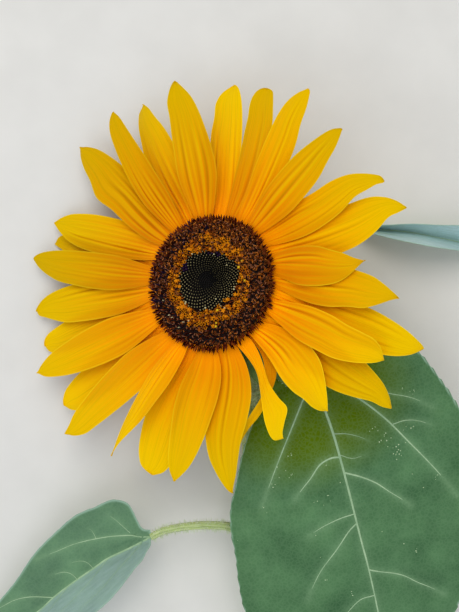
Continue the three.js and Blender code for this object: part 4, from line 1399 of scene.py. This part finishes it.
    def add_teeth(self, shape: Shape, rng: Rng) -> None:
        """Adds the rim's short pointed scales, which lie out over the roots of the rays.

        Args:
            shape: what they are added to.
            rng: where their small differences come from.
        """
        count = self.rim_teeth
        turn = np.arange(count) * GOLDEN_TURN
        high = rng.uniform(0, 1, count)
        out = np.stack([np.cos(turn), np.sin(turn)], axis=1)
        feet = np.column_stack([out * mix(*self.tooth_feet, high)[:, None], mix(*self.tooth_heights, high)])
        tilt = np.radians(mix(*self.tooth_tilts, high) + rng.normal(0, 7, count))
        axis = self.leaning(out, tilt)
        axis[:, :2] += rng.normal(0, 0.12, (count, 2))
        frames = frames_for(
            unit(axis) @ FACE.T, rng.uniform(0, SPIN, count), rng.uniform(1.0, 1.4, count),
            rng.uniform(3.0, 4.7, count),
        )
        tooth = turned_body(self.tooth, 5)
        kind = rng.uniform(0, 1, count)
        for slot, chosen in ((0, kind < 0.35), (1, kind >= 0.35)):
            shape.add_copies(*tooth, frames[chosen], on_face(feet[chosen]), slot)

    def build(self) -> None:
        """Makes the bed and its florets."""
        self.build_bed()
        self.build_florets()


# Bristles

@dataclass
class Bristles:
    """Short stiff hairs of one green part, joined as one piece and as thick as they need to be to show.

    floor: how far the hairs' tips stay above the ground, in mm.
    profile: a hair's radii and heights, as shares of its size.
    """

    girth: float = 0.19
    floor: float = 0.15
    profile: tuple = ((1.0, -0.08), (0.6, 0.5), (0.12, 1.0))

    def build(self, name: str, slot: str, feet: Array, axes: Array, lengths: Array, rng: Rng) -> None:
        """Makes a piece of hairs.

        Args:
            name: what the piece is called.
            slot: the record's finish that it wears.
            feet: where the hairs stand, in the plant's frame.
            axes: the directions that they point in.
            lengths: how long they are.
            rng: where their turns come from.
        """
        clear = (feet + unit(axes) * lengths[:, None] + SHIFT)[:, 2] > self.floor
        feet, axes, lengths = feet[clear], axes[clear], lengths[clear]
        spins = rng.uniform(0, SPIN, len(feet))
        frames = frames_for(axes, spins, np.full(len(feet), self.girth), lengths)
        shape = Shape()
        shape.add_copies(*turned_body(self.profile, 3), frames, feet)
        shape.settle(name, (Finish.BRISTLE,), slot)


# The green cup

@dataclass(frozen=True)
class BractRing:
    """One ring of bracts: how far they reach, how wide they grow, how high they stand and where it starts."""

    reach: float
    width: float
    root: float
    tip: float
    start: float


@dataclass
class GreenCup:
    """The cup behind the disc, with two rings of pointed, hairy bracts round it."""

    profile: tuple = (
        (NECK_RADIUS, -CUP_DEPTH), (9.5, -23.6), (21.0, -21.4), (33.0, -18.4), (39.4, -13.6),
        (41.0, -10.4), (39.5, -9.2), (WALL_RADIUS, -8.7), (WALL_RADIUS, -0.5),
    )
    rings: tuple = (BractRing(70, 15, -12.0, -16.0, 0.0), BractRing(61, 14, -15.6, -21.0, 0.5))
    per_ring: int = 13
    root_radius: float = 35.0
    thickness: float = 1.0
    arch: float = 0.9
    outline: tuple = (0.64, 0.76, 0.74, 0.6, 0.38, 0.04)
    sides: int = 144
    rows: int = 30
    columns: int = 11
    hairs: int = 60
    hair_length: tuple = (0.9, 1.9)

    def build_cup(self) -> None:
        """Makes the cup's body, faintly ribbed from the neck outwards."""
        line = spaced(np.array(self.profile), 46)
        turns = np.arange(self.sides) * 2 * np.pi / self.sides
        ripple = 1 + 0.006 * np.cos(26 * turns)[None, :] * smooth(line[:, 0], 9, 26)[:, None]
        x = line[:, :1] * ripple * np.cos(turns)
        y = line[:, :1] * ripple * np.sin(turns)
        z = np.repeat(line[:, 1:], self.sides, axis=1)
        points, faces = closed_rings(np.stack([x, y, z], axis=2))
        shape = Shape()
        shape.add(on_face(points), faces)
        shape.settle("green_cup", (Finish.BRACT,), "bract", "receptacle")

    def bract(self, ring: BractRing, turn: float) -> Array:
        """Middle surface of one bract.

        Args:
            ring: the ring that it grows in.
            turn: its turn from +X, in radians.

        Returns:
            A grid of places in the plant's frame.
        """
        u, v = np.meshgrid(np.linspace(0, 1, self.rows), np.linspace(-1, 1, self.columns), indexing="ij")
        half = ring.width / 2 * sampled(self.outline, u)
        x = mix(self.root_radius, ring.reach, u)
        y = v * half
        z = mix(ring.root, ring.tip, u * u) - self.arch * v * v * np.sin(np.pi * u)
        z = z - 0.35 * np.exp(-np.abs(v) / 0.12) * (1 - u)
        c, s = math.cos(turn), math.sin(turn)
        flat = np.stack([x * c - y * s, x * s + y * c, z], axis=2)
        return on_face(flat.reshape(-1, 3)).reshape(flat.shape)

    def build_bracts(self) -> None:
        """Makes the bracts as one piece, and the hairs along their backs and edges as another."""
        rng = np.random.default_rng(31)
        shape, feet, axes = Shape(), [], []
        for ring in self.rings:
            for k in range(self.per_ring):
                grid = self.bract(ring, 2 * np.pi * (k + ring.start) / self.per_ring)
                shell(shape, grid, self.thickness * mix(1.0, 0.4, np.linspace(0, 1, self.rows))[:, None])
                normals = grid_normals(grid)
                i = rng.integers(3, self.rows - 1, self.hairs)
                on_edge = rng.uniform(0, 1, self.hairs) < 0.6
                edge = rng.choice([0, self.columns - 1], self.hairs)
                j = np.where(on_edge, edge, rng.integers(0, self.columns, self.hairs))
                outward = grid[i, j] - grid[i, self.columns // 2]
                feet.append(grid[i, j])
                axes.append(unit(outward + 1e-6) - 0.8 * normals[i, j])
        shape.settle("bracts", (Finish.BRACT,), "bract")
        feet, axes = np.vstack(feet), np.vstack(axes)
        lengths = rng.uniform(*self.hair_length, len(feet))
        Bristles().build("bract_hairs", "bract", feet, axes, lengths, rng)

    def build(self) -> None:
        """Makes the cup and its bracts."""
        self.build_cup()
        self.build_bracts()


# Stem, neck and petioles

@dataclass
class Limb:
    """One tapering green limb with shallow ridges and bristles.

    line: its centre line in the plant's frame.
    radii: its radius at each place of that line.
    up: the direction that its section's top is measured from.
    relief, groove: how deep its furrows and the channel along its top are, as shares of its radius.
    cut: whether its far end shows the cut pith.
    """

    name: str
    node: str
    line: Array
    radii: Array
    up: Array
    ridges: int
    relief: float
    hairs: int
    groove: float = 0.0
    sides: int = 48
    streak_length: float = 12.0
    hair_length: tuple = (0.9, 1.9)
    cut: bool = False

    def rings(self) -> tuple:
        """Works out the limb's skin.

        Returns:
            Places round it, how far out its ridges stand there, and the outward directions.
        """
        side, rise = beside(self.line, self.up)
        turns = np.arange(self.sides) * 2 * np.pi / self.sides
        share = np.linspace(0, 1, len(self.line))[:, None]
        ridge = 0.5 + 0.5 * np.cos(self.ridges * turns[None] + 0.6 * np.sin(5 * share))
        channel = np.exp(-((np.sin(turns / 2 - np.pi / 4) / 0.22) ** 2))[None]
        radius = self.radii[:, None] * (1 - self.relief * (1 - ridge) - self.groove * channel)
        out = side[:, None] * np.cos(turns)[None, :, None] + rise[:, None] * np.sin(turns)[None, :, None]
        return self.line[:, None] + out * radius[..., None], ridge, out

    def build(self) -> None:
        """Makes the limb and its bristles."""
        rng = np.random.default_rng(sum(map(ord, self.name)))
        rings, ridge, out = self.rings()
        points, faces = closed_rings(rings)
        far = travelled(self.line) / self.streak_length
        along = np.concatenate([np.repeat(far, self.sides), [0.0, far[-1]]])
        turn = np.concatenate([np.tile(np.abs(np.linspace(-1, 1, self.sides)), len(far)), [0.0, 0.0]])
        shape = Shape()
        shape.add(points, faces, along=along, round=turn, ridge=np.concatenate([ridge.ravel(), [0.5, 0.5]]))
        if self.cut:
            shape.slots[-1][-self.sides:] = 1
        shape.settle(self.name, (Finish.STEM, Finish.PITH), "stem_skin", self.node)
        i = rng.integers(1, len(self.line) - 1, self.hairs)
        j = rng.integers(0, self.sides, self.hairs)
        axes = out[i, j] + rng.normal(0, 0.25, (self.hairs, 3))
        lengths = rng.uniform(*self.hair_length, self.hairs)
        Bristles().build(f"{self.name}_bristles", "stem_skin", rings[i, j], axes, lengths, rng)


@dataclass
class Stalk:
    """The upper stem on the ground and the neck that bends from it up to the cup."""

    course: tuple = ((21, -36), (22.5, -75), (25, -120), (27.5, -165), (33, -226))
    straight_top: float = 15.0
    straight_end: float = 19.0
    taper: float = 0.6
    gap: float = 0.3
    ridges: int = 11
    relief: float = 0.035

    def stem_line(self) -> Array:
        """The stem's centre line, lying its own radius above the ground."""
        radii = np.linspace(STEM_TOP_RADIUS, STEM_CUT_RADIUS, len(self.course))
        return spaced(smooth_line([(x, y, r) for (x, y), r in zip(self.course, radii)]), 120)

    def build(self) -> None:
        """Makes the stem with its pale cut, and the neck."""
        line = self.stem_line()
        radii = np.linspace(STEM_TOP_RADIUS, STEM_CUT_RADIUS, len(line))
        Limb("stem_skin", "stem", line, radii, UP, self.ridges, self.relief, hairs=2200, cut=True).build()
        axis = FACE @ UP
        top = FACE_CENTRE - axis * (CUP_DEPTH + self.gap)
        way = unit(line[1] - line[0])
        end = line[0] - way * self.gap
        share = np.linspace(0, 1, 60)
        ends = [top, top - axis * self.straight_top, end - way * self.straight_end, end]
        centre, _ = bezier(ends, share)
        radii = mix(NECK_RADIUS, STEM_TOP_RADIUS, np.minimum(1, share / self.taper))
        side = np.array([1.0, 0.0, 0.0])
        Limb("neck_skin", "neck", centre, radii, side, self.ridges, self.relief, hairs=520).build()


# Leaves

class Face(Enum):
    """The two faces of a blade, as the way that each looks along the blade's normal."""

    UPPER = 1
    UNDER = -1


@dataclass(frozen=True)
class Half:
    """One half of a blade.

    rim: places on its edge, in mm along the leaf and out from its axis.
    fold: how steeply it folds up along the midrib, in degrees at its base and tip.
    bloom: how much painted blue-grey sky reflection lies over it, from 0 to 1.
    edge: how wide the painted pale reflection along its edge is, in mm.
    """

    rim: tuple
    fold: tuple
    bloom: float = 0.0
    edge: float = 0.9


@dataclass(frozen=True)
class Vein:
    """A side vein: its course in the flat outline and its width at its start, in mm; 0 is a crease alone."""

    course: tuple
    width: float


@dataclass
class Leaf:
    """One leaf: a toothed blade that puffs between its veins, the veins themselves, and its petiole.

    base: where its axis starts; heading and slope: its course at base and tip, in degrees.
    rib: the midrib's course in the flat outline, in mm, and rib_width its width.
    petiole, petiole_radii: the petiole's way from the stem, and its radii.
    petal_shade: how far from the base its painted shade of the petals above, a yellower green, reaches, in
    mm.
    centre: the place that the blade's rings close in on; keel: how softly it folds, in mm.
    tooth_pitch, tooth, wave, puff: its teeth, the waves of its rim and how far it puffs up, in mm.
    valley, vein_reach: how wide the valley of a vein is and how far its paler colour reaches, in mm.
    specks: pale flecks as groups: where each lies, how far it spreads and how many it has.
    """

    name: str
    base: tuple
    length: float
    right: Half
    left: Half
    rib: tuple
    rib_width: float
    heading: tuple
    slope: tuple
    thickness: float
    petiole: tuple
    petiole_radii: tuple
    veins: tuple
    specks: tuple = ()
    petal_shade: float = 0.0
    centre: tuple = (20, 0)
    rim_points: int = 300
    rings: int = 50
    spine_steps: int = 24
    keel: float = 1.5
    tooth_pitch: float = 8.0
    tooth: float = 0.9
    wave: float = 1.2
    puff: float = 1.7
    valley: float = 6.5
    vein_reach: float = 1.8
    normal_step: float = 0.6
    fleck_size: tuple = (0.18, 0.42)

    def direction(self, share: Array) -> Array:
        """Course of the leaf's axis.

        Args:
            share: how far along the leaf each place is.

        Returns:
            The axis's direction there.
        """
        turn = np.radians(mix(*self.heading, share))
        slope = np.radians(mix(*self.slope, share))
        return np.stack([np.cos(turn) * np.cos(slope), np.sin(turn) * np.cos(slope), np.sin(slope)], axis=-1)

    def surface(self, x: Array, y: Array) -> Array:
        """Middle surface over the flat outline, folded along the midrib.

        Args:
            x: places along the axis.
            y: places to its left.

        Returns:
            Places in the plant's frame.
        """
        steps = (np.arange(self.spine_steps) + 0.5) / self.spine_steps
        hops = self.direction(steps) * self.length / self.spine_steps
        spine = np.vstack([self.base, np.array(self.base) + np.cumsum(hops, axis=0)])
        share = np.clip(x / self.length, 0, 1)
        forward = self.direction(share)
        place = share * self.spine_steps
        index = np.minimum(place.astype(int), self.spine_steps - 1)
        middle = spine[index] + (spine[index + 1] - spine[index]) * (place - index)[:, None]
        middle = middle + forward * (x - share * self.length)[:, None]
        aside = unit(np.cross(UP, forward))
        up = np.cross(forward, aside)
        rib = np.interp(x, *smooth_line(self.rib).T)
        off = y - rib
        folds = [np.where(off < 0, right, left) for right, left in zip(self.right.fold, self.left.fold)]
        fold = np.radians(mix(*folds, share))
        soft = np.hypot(off, self.keel) - self.keel
        return middle + aside * (rib + off * np.cos(fold))[:, None] + up * (soft * np.sin(fold))[:, None]

    def stand(self, x: Array, y: Array, rim: Array, net: list) -> tuple:
        """Where the puffed blade lies.

        Args:
            x: places along the axis.
            y: places to its left.
            rim: the blade's rim.
            net: its veins.

        Returns:
            Its middle surface, unit normals and half thickness there, how near a vein each place is, and how
            far from the rim.
        """
        step = self.normal_step
        ahead = self.surface(x + step, y) - self.surface(x - step, y)
        aside = self.surface(x, y + step) - self.surface(x, y - step)
        normal = unit(np.cross(ahead, aside))
        lift, vein, inside = self.relief(x, y, rim, net)
        body = self.thickness * mix(0.11, 0.24, smooth(inside, 0, 35))
        return self.surface(x, y) + normal * lift[:, None], normal, body, vein, inside

    def rim(self) -> Array:
        """Draws the smooth rim in the flat outline.

        Returns:
            Its places, from the tip down the left half and back up the right.
        """
        halves = []
        for half, sign in ((self.left, 1), (self.right, -1)):
            points = [(x, sign * y) for x, y in half.rim]
            line = spaced(smooth_line([*points, (self.length, 0.0)]), self.rim_points // 2)
            halves.append(line[::-1] if sign > 0 else line[:-1])
        return np.vstack(halves)

    def vein_net(self) -> list:
        """Each vein as its fine course in the flat outline, with its width at its start."""
        courses = [(self.rib, self.rib_width), *((vein.course, vein.width) for vein in self.veins)]
        return [(spaced(smooth_line(course), 8 + 3 * len(course)), width) for course, width in courses]

    def relief(self, x: Array, y: Array, rim: Array, net: list) -> tuple:
        """How the blade stands off its plain surface.

        Args:
            x: places along the axis.
            y: places to its left.
            rim: the blade's rim.
            net: its veins.

        Returns:
            The height off the middle surface, how near a vein each place is from 0 to 1, and how far from
            the rim.
        """
        flat = np.stack([x, y], axis=1)
        valley, near = np.zeros(len(x)), np.zeros(len(x))
        for line, width in net:
            away = gap(flat, spaced(line, max(12, int(len(line) * 1.5))))
            weight = min(1.0, 0.45 + 0.5 * width) if width else 0.8
            valley = np.maximum(valley, weight * np.exp(-((away / self.valley) ** 2)))
            near = np.maximum(near, min(1.0, width) * np.exp(-away / self.vein_reach))
        inside = gap(flat, rim)
        along = np.arctan2(y, x)
        wave = self.wave * np.sin(9 * along + 2) * np.sin(3.3 * along) * (1 - smooth(inside, 0, 30))
        wave += 0.5 * self.wave * np.sin(x / 11 + y / 17) * np.sin(y / 13 - x / 29) * smooth(inside, 2, 14)
        return self.puff * (0.5 - valley) * smooth(inside, 0, 12) + wave, near, inside

    def build_blade(self, rim: Array, net: list) -> None:
        """Makes the blade as one closed shell with a toothed edge.

        Args:
            rim: its smooth rim.
            net: its veins.
        """
        steps = np.hypot(*np.diff(rim, axis=0, append=rim[:1]).T)
        arc = np.concatenate([[0.0], np.cumsum(steps)[:-1]])
        away = np.minimum(arc, arc[-1] - arc)
        spoke = rim - self.centre
        teeth = self.tooth * ((away / self.tooth_pitch) % 1.0)
        toothed = 1 + teeth / np.hypot(*spoke.T) * smooth(away, 6, 20)
        shares = np.linspace(0, 1, self.rings + 1)[1:] ** 0.85
        grown = mix(1.0, toothed[None], smooth(shares, 0.94, 1.0)[:, None])
        flat = self.centre + spoke[None] * (shares[:, None] * grown)[..., None]
        x, y = (np.concatenate([[self.centre[k]], flat[..., k].ravel()]) for k in (0, 1))
        middle, normal, body, vein, inside = self.stand(x, y, rim, net)
        half = normal * body[:, None]
        count, rings = len(rim), len(shares)
        k = np.arange(count)
        nearby = (k + 1) % count
        fan = np.stack([np.zeros(count, int), 1 + k, 1 + nearby], axis=1)
        inner, after = ((1 + np.arange(rings - 1)[:, None] * count + near).ravel() for near in (k, nearby))
        quads = np.stack([inner, inner + count, after + count, after], axis=1)
        total, edge = len(x), 1 + (rings - 1) * count
        sides = np.stack([edge + k, edge + k + total, edge + nearby + total, edge + nearby], axis=1)
        on_left = smooth(y - np.interp(x, *smooth_line(self.rib).T), -0.5, 0.5)
        # Share of a painted pale reflection along the rim.
        rim_reflection_share = 1 - smooth(inside / mix(self.right.edge, self.left.edge, on_left), 0.3, 1.2)
        petal_shade = 0 * x
        # Painted shade of the petals above, fading out from near the base.
        if self.petal_shade:
            petal_shade = 1 - smooth(np.hypot(x - 8, 0.9 * y + 8), 0.5 * self.petal_shade, self.petal_shade)
        both = {
            "leaf_x": x, "leaf_y": y, "vein": vein, "petal_shade": petal_shade, "rim": rim_reflection_share,
            # How much painted sky reflection each half carries.
            "bloom": mix(self.right.bloom, self.left.bloom, on_left),
        }
        shape = Shape()
        shape.add(
            np.concatenate([middle + half, middle - half]),
            np.concatenate([quads, quads[:, ::-1] + total, sides]),
            under=np.repeat([0.0, 1.0], total),
            **{name: np.tile(v, 2) for name, v in both.items()},
        )
        shape.faces.append(np.concatenate([fan, fan[:, ::-1] + total]))
        shape.slots.append(np.zeros(2 * count))
        shape.settle(f"{self.name}_blade", (Finish.LEAF,), "leaf_blade", self.name)

    def build_veins(self, rim: Array, net: list) -> None:
        """Makes the raised veins of both faces, which sink into the blade at their ends, and the flecks.

        Args:
            rim: the blade's rim.
            net: its veins.
        """
        shape = Shape()
        for number, (line, width) in enumerate(net):
            if not width:
                continue
            line = spaced(line, max(6, int(len(line) * 1.2)))
            middle, normal, body, *_ = self.stand(*line.T, rim, net)
            share = np.linspace(0, 1, len(line))
            taper = width / 2 * mix(1.0, 0.25, share)
            # The midrib stands well out; a side vein stays just above the blade, most at its start.
            start = 0.12 * (1 - smooth(share, 0.1, 0.4))
            sink = 0.1 * taper - 0.08 - start if number else -0.25 * taper
            sink = sink + (0.16 * width + 0.08) * smooth(share, 0.75, 1.0)
            for face, rise, broad in ((Face.UPPER, 0.35, 1.0), (Face.UNDER, 0.9, 1.4)):
                centre = middle + normal * (face.value * (body - sink))[:, None]
                shape.add(*sweep(centre, normal, taper * broad, taper * rise, 8))
        rng = np.random.default_rng(len(self.name))
        for x, y, spread, count in self.specks:
            middle, normal, body, *_ = self.stand(*rng.normal((x, y), spread, (count, 2)).T, rim, net)
            girth = rng.uniform(*self.fleck_size, count)
            frames = frames_for(normal, rng.uniform(0, SPIN, count), girth, girth)
            fleck = turned_body(((0.8, -0.5), (1.0, 0.1), (0.5, 0.4)), 6)
            shape.add_copies(*fleck, frames, middle + normal * body[:, None], 1)
        shape.settle(f"{self.name}_veins", (Finish.LEAF_VEIN, Finish.FLECK), "leaf_blade")

    def build_petiole(self) -> None:
        """Makes the petiole from the stem to the midrib's start, channelled along its top."""
        (x, y), *way = self.petiole
        end = self.surface(*np.array(self.rib[:1], float).T)[0]
        line = spaced(smooth_line([(x, y, STEM_TOP_RADIUS), *way, end]), 90)
        radii = np.linspace(*self.petiole_radii, len(line))
        node = self.name.replace("leaf", "petiole")
        Limb(
            f"{node}_skin", node, line, radii, UP, ridges=7, relief=0.04, hairs=1000, groove=0.22,
            hair_length=(1.3, 2.7),
        ).build()

    def build(self) -> None:
        """Makes the leaf's blade, veins and petiole."""
        rim, net = self.rim(), self.vein_net()
        self.build_blade(rim, net)
        self.build_veins(rim, net)
        self.build_petiole()


BROAD_LEAF = Leaf(
    name="leaf_lower_right", base=(57.5, -49, 44), length=232,
    right=Half((
        (-4.6, 1.4), (-11.6, 6.8), (-10.4, 16.3), (4.6, 25.2), (27.3, 41.9), (46, 51.7), (59.7, 57.6),
        (69, 62.1), (82.4, 65.1), (98.9, 65.9), (115, 67.8), (133.9, 68), (165, 58), (200, 31),
    ), (-5, -3), 0, 0.6),
    left=Half((
        (-4.6, 1.7), (-15, 10), (-19.7, 30), (-7, 55), (23, 73), (65, 84), (104, 81.5), (144, 67),
        (181, 44), (209, 19),
    ), (-4, -3), 0, 0.6),
    rib=(
        (0, 0), (12, 1.4), (25, 2.8), (38, 4.5), (52, 5.5), (76, 6.7), (104, 7.5), (121, 8.2), (150, 8),
        (190, 6), (226, 0.6),
    ),
    rib_width=1.6, heading=(-79, -74), slope=(2, -23.5), thickness=2.4,
    petiole=((22.3, -74), (27, -68, 13), (38, -58, 27), (48, -49, 40)), petiole_radii=(4.2, 3.6),
    veins=(
        Vein((
            (0, 0), (8, 8), (22.1, 23.7), (36.8, 36.2), (53.2, 46.7), (64.8, 54), (76.6, 60.8),
            (92, 68),
        ), 1.43),
        Vein((
            (0, 0), (7, -3), (16.1, -8.6), (31.7, -18.7), (42.1, -25.6), (57.4, -35.3), (72, -44),
        ), 1.17),
        Vein(((9, 9), (14, 24), (23.2, 42.6), (26, 49.8), (29.9, 56.8), (35.8, 64)), 0.78),
        Vein(((40.7, 39.5), (39.9, 45.8), (41.2, 52.7), (45.5, 60.9)), 0.65),
        Vein(((38.5, 4.6), (39.8, 11.2), (42.8, 17.8), (46.5, 23.5)), 0.52),
        Vein(((51, 5.4), (54.7, 12.3), (54.6, 19.5)), 0.45),
        Vein((
            (52.5, 5.4), (51.9, 1.6), (52.6, -2), (54.7, -6.6), (62.2, -14), (65.8, -18.2), (72, -25),
        ), 1.1),
        Vein((
            (62, 6.2), (65.9, 13.6), (69.3, 18.9), (73.4, 24), (79.8, 29.9), (84.9, 35), (90.7, 39.9),
        ), 1.1),
        Vein(((90.7, 39.9), (96.5, 44.8), (105, 52.3), (117, 59.3), (125, 63.4)), 0),
        Vein(((87.5, 7), (87.9, 1.2), (89.3, -6.1), (91.5, -13.7), (95, -22)), 0.78),
        Vein(((93.2, 7.3), (96.3, 2.5), (106.6, -7.4), (117.1, -18.5), (124.3, -24.3), (134, -31)), 0.85),
        Vein((
            (123.5, 8.3), (126.9, 15.6), (129.9, 22.3), (133.8, 28.3), (139.9, 34.6), (145.7, 41.6),
            (153, 49),
        ), 0.91),
        Vein(((140.2, 7.8), (140.8, 0.4), (145.2, -6.5), (153, -15)), 0.78),
        Vein(((158, 7.8), (163, 16), (171, 26)), 0.65),
        Vein(((170, 7.2), (177, -2), (186, -12)), 0.65),
        Vein(((188, 6), (194, 13), (202, 19)), 0.52),
        Vein(((199, 4.8), (205, -2), (213, -8)), 0.52),
    ),
    specks=(
        (57, 38, 2.2, 12), (24.6, 54.8, 1, 4), (21.6, 49.4, 0.6, 2), (43, 48, 1.5, 4),
        (57.3, -27, 1.6, 5), (60.5, -35.3, 1.2, 3), (45.8, -22.2, 1, 3), (74.5, -4.8, 0.8, 3),
        (75.6, -14.4, 1, 2), (124, -17.6, 0.7, 2), (135, -4.9, 1, 3), (118.8, 37.3, 0.8, 3),
        (77.9, 59.2, 0.8, 3), (74.5, -43.7, 1.2, 3), (45.8, 33.8, 3.5, 9), (41.2, 26.9, 1.5, 4),
        (90, 10, 30, 12),
    ),
    petal_shade=66, rim_points=400, rings=74,
)

FOLDED_LEAF = Leaf(
    name="leaf_lower_left", base=(-44.5, -149, 27), length=158,
    right=Half((
        (-8.4, -1.9), (-5.7, 1.3), (-6.3, 6.5), (-8.1, 13.1), (-9.2, 17.9), (-7.7, 22.5), (-4.1, 26.4),
        (0.3, 28.5), (6.9, 30), (19.9, 33.3), (36.4, 32.6), (54.5, 30.3), (76.7, 23.2), (92.1, 19.4),
        (125, 11),
    ), (8, 6), 0.06, 1.3),
    left=Half((
        (-7.6, 3.5), (-5.4, 7.1), (-3.9, 11.1), (0.2, 14.3), (5.2, 17.2), (13, 20.6), (20.7, 23.8),
        (28.6, 25.9), (37.9, 26.4), (70, 25), (110, 15),
    ), (57, 25), 0.4, 1.0),
    rib=(
        (-6, 5.5), (1.4, 4.1), (9.2, 2.4), (17.6, 0.3), (24.3, -1), (32.7, -1.3), (44.7, -1.9),
        (63.8, -1.8), (75.1, -0.4), (118, -0.2), (154, 0),
    ),
    rib_width=1.2, heading=(-140, -147), slope=(-3, -16), thickness=1.8,
    petiole=((27, -160), (20, -151, 15), (10, -145, 21), (-8, -143, 25.5), (-28, -145.5, 27)),
    petiole_radii=(2.7, 2.2),
    veins=(
        Vein((
            (-6, 5.5), (-1, 1.3), (1.5, -2.1), (6.6, -6.1), (13.4, -10.9), (31.6, -20), (43, -23.2),
            (56.5, -27),
        ), 0.9),
        Vein(((1.8, -4.4), (2, -8.7), (2.7, -15.9), (3.9, -21.8)), 0.45),
        Vein(((19.6, -14.8), (18.3, -19.8), (18.9, -22.7)), 0.35),
        Vein(((64.2, -1.5), (67.7, -4.6), (75.6, -10.4), (84.4, -14.2), (93.2, -15.3), (104, -16)), 0.7),
        Vein(((45.2, -2), (45.6, -6.5), (48.5, -10.5), (55.6, -13.4)), 0.55),
        Vein(((33.2, -1.5), (33.5, -6), (35.4, -9.2), (42, -13)), 0.4),
        Vein(((100, -0.2), (112, -6), (124, -9)), 0.4),
        Vein(((0, 5), (12, 10), (30, 15), (52, 17)), 0.3),
        Vein(((22, -0.6), (36, 5), (54, 9), (70, 11)), 0.3),
        Vein(((52, -1.9), (66, 3), (86, 9)), 0.3),
        Vein(((90, -0.3), (104, 5), (120, 9)), 0.3),
    ),
    tooth=0.25, wave=0.5, puff=1.0,
)

NARROW_LEAF = Leaf(
    name="leaf_right", base=(86, 38, 3), length=107,
    right=Half((
        (-2, 0.8), (3, 8), (10, 15), (18.3, 20.5), (26.5, 24.7), (35, 27.2), (43.9, 28.2), (53.7, 26.1),
        (63.2, 22.6), (78, 15.5), (92, 8), (101, 3.5),
    ), (74, 68), 0.75, 1.4),
    left=Half((
        (-2, 0.8), (3, 6), (9, 10.4), (17.5, 13.9), (26.8, 16.1), (38.9, 17), (50.7, 18.5), (61.6, 20.6),
        (75, 19), (90, 12), (101, 4.6),
    ), (88, 52), 1.0),
    rib=(
        (0, 0), (12.9, -0.3), (20.4, 0.2), (30.4, 1.2), (37.9, 1.7), (55.8, 1.6), (67.9, 1.5),
        (86, 0.8), (103, 0),
    ),
    rib_width=0.9,
    heading=(-9.4, -12.4), slope=(-2, -0.5), thickness=1.4,
    petiole=((21.8, -52), (30, -42, 9), (42, -16, 8), (58, 18, 5), (74, 35, 3.8)),
    petiole_radii=(3.6, 2.8),
    veins=(Vein(((0, 0), (12, 8), (30, 15)), 0.5), Vein(((0, 0), (12, -8), (30, -15)), 0.5)),
    tooth=0.4, wave=0.4, puff=0.5, rim_points=240, rings=36,
)

LEAVES = (BROAD_LEAF, FOLDED_LEAF, NARROW_LEAF)


# The studio

@dataclass
class Studio:
    """A pale floor, soft light from above and behind, and a camera that looks straight down."""

    floor_size: float = 6000.0
    camera_place: tuple = (10.136, -12.6, 530.6)
    lens: float = 50.0

    def build_floor(self) -> None:
        """Makes the pale matt floor under the plant."""
        half = self.floor_size * MM / 2
        mesh = bpy.data.meshes.new("floor")
        corners = [(-half, -half, 0), (half, -half, 0), (half, half, 0), (-half, half, 0)]
        mesh.from_pydata(corners, [], [(0, 1, 2, 3)])
        mesh.materials.append(PlantSkin("matt paper floor", "#e9e7e1", "#e4e2dc", 40.0, 0.9, 0.05).build())
        floor = new_object("floor", mesh)

    def add_light(self, name: str, place: tuple, size: float, power: float, colour: str) -> None:
        """Adds a square soft light that points at the bloom.

        Args:
            name: what it is called.
            place: where it stands, in metres.
            size: how wide it is, in metres.
            power: how strong it is, in watts.
            colour: its sRGB colour.
        """
        data = bpy.data.lights.new(name, "AREA")
        data.shape, data.size, data.energy = "SQUARE", size, power
        data.color = linear(colour)[:3]
        light = new_object(name, data)
        light.location = place
        light.rotation_euler = (-light.location).to_track_quat("-Z", "Y").to_euler()

    def build_light(self) -> None:
        """Adds the sky's even light and two soft lamps."""
        world = bpy.data.worlds.new("studio sky")
        world.use_nodes = True
        shade = world.node_tree.nodes["Background"]
        shade.inputs["Color"].default_value = linear("#eef3fb")
        shade.inputs["Strength"].default_value = 0.6
        bpy.context.scene.world = world
        self.add_light("window", (-0.1, 0.85, 1.55), 1.2, 11.4, "#fffaf0")
        self.add_light("bounce", (-0.5, -0.9, 1.2), 1.3, 5.6, "#eef4ff")

    def build_camera(self) -> None:
        """Adds the camera, straight above, with the picture's top towards +Y."""
        data = bpy.data.cameras.new("camera")
        data.lens, data.sensor_width = self.lens, 36.0
        data.clip_start, data.clip_end = 0.01, 50.0
        camera = new_object("camera", data)
        camera.location = (np.array(self.camera_place) + SHIFT) * MM
        bpy.context.scene.camera = camera

    def build(self) -> None:
        """Makes the floor, the light and the camera."""
        self.build_floor()
        self.build_light()
        self.build_camera()
        bpy.context.scene.view_settings.view_transform = "Standard"


def main() -> None:
    """Builds the plant and its studio."""
    logging.basicConfig(level=logging.INFO, format="%(message)s")
    for part in (RayCrown(), SeedDisc(), GreenCup(), Stalk(), *LEAVES, Studio()):
        part.build()


if __name__ == "__main__":
    main()
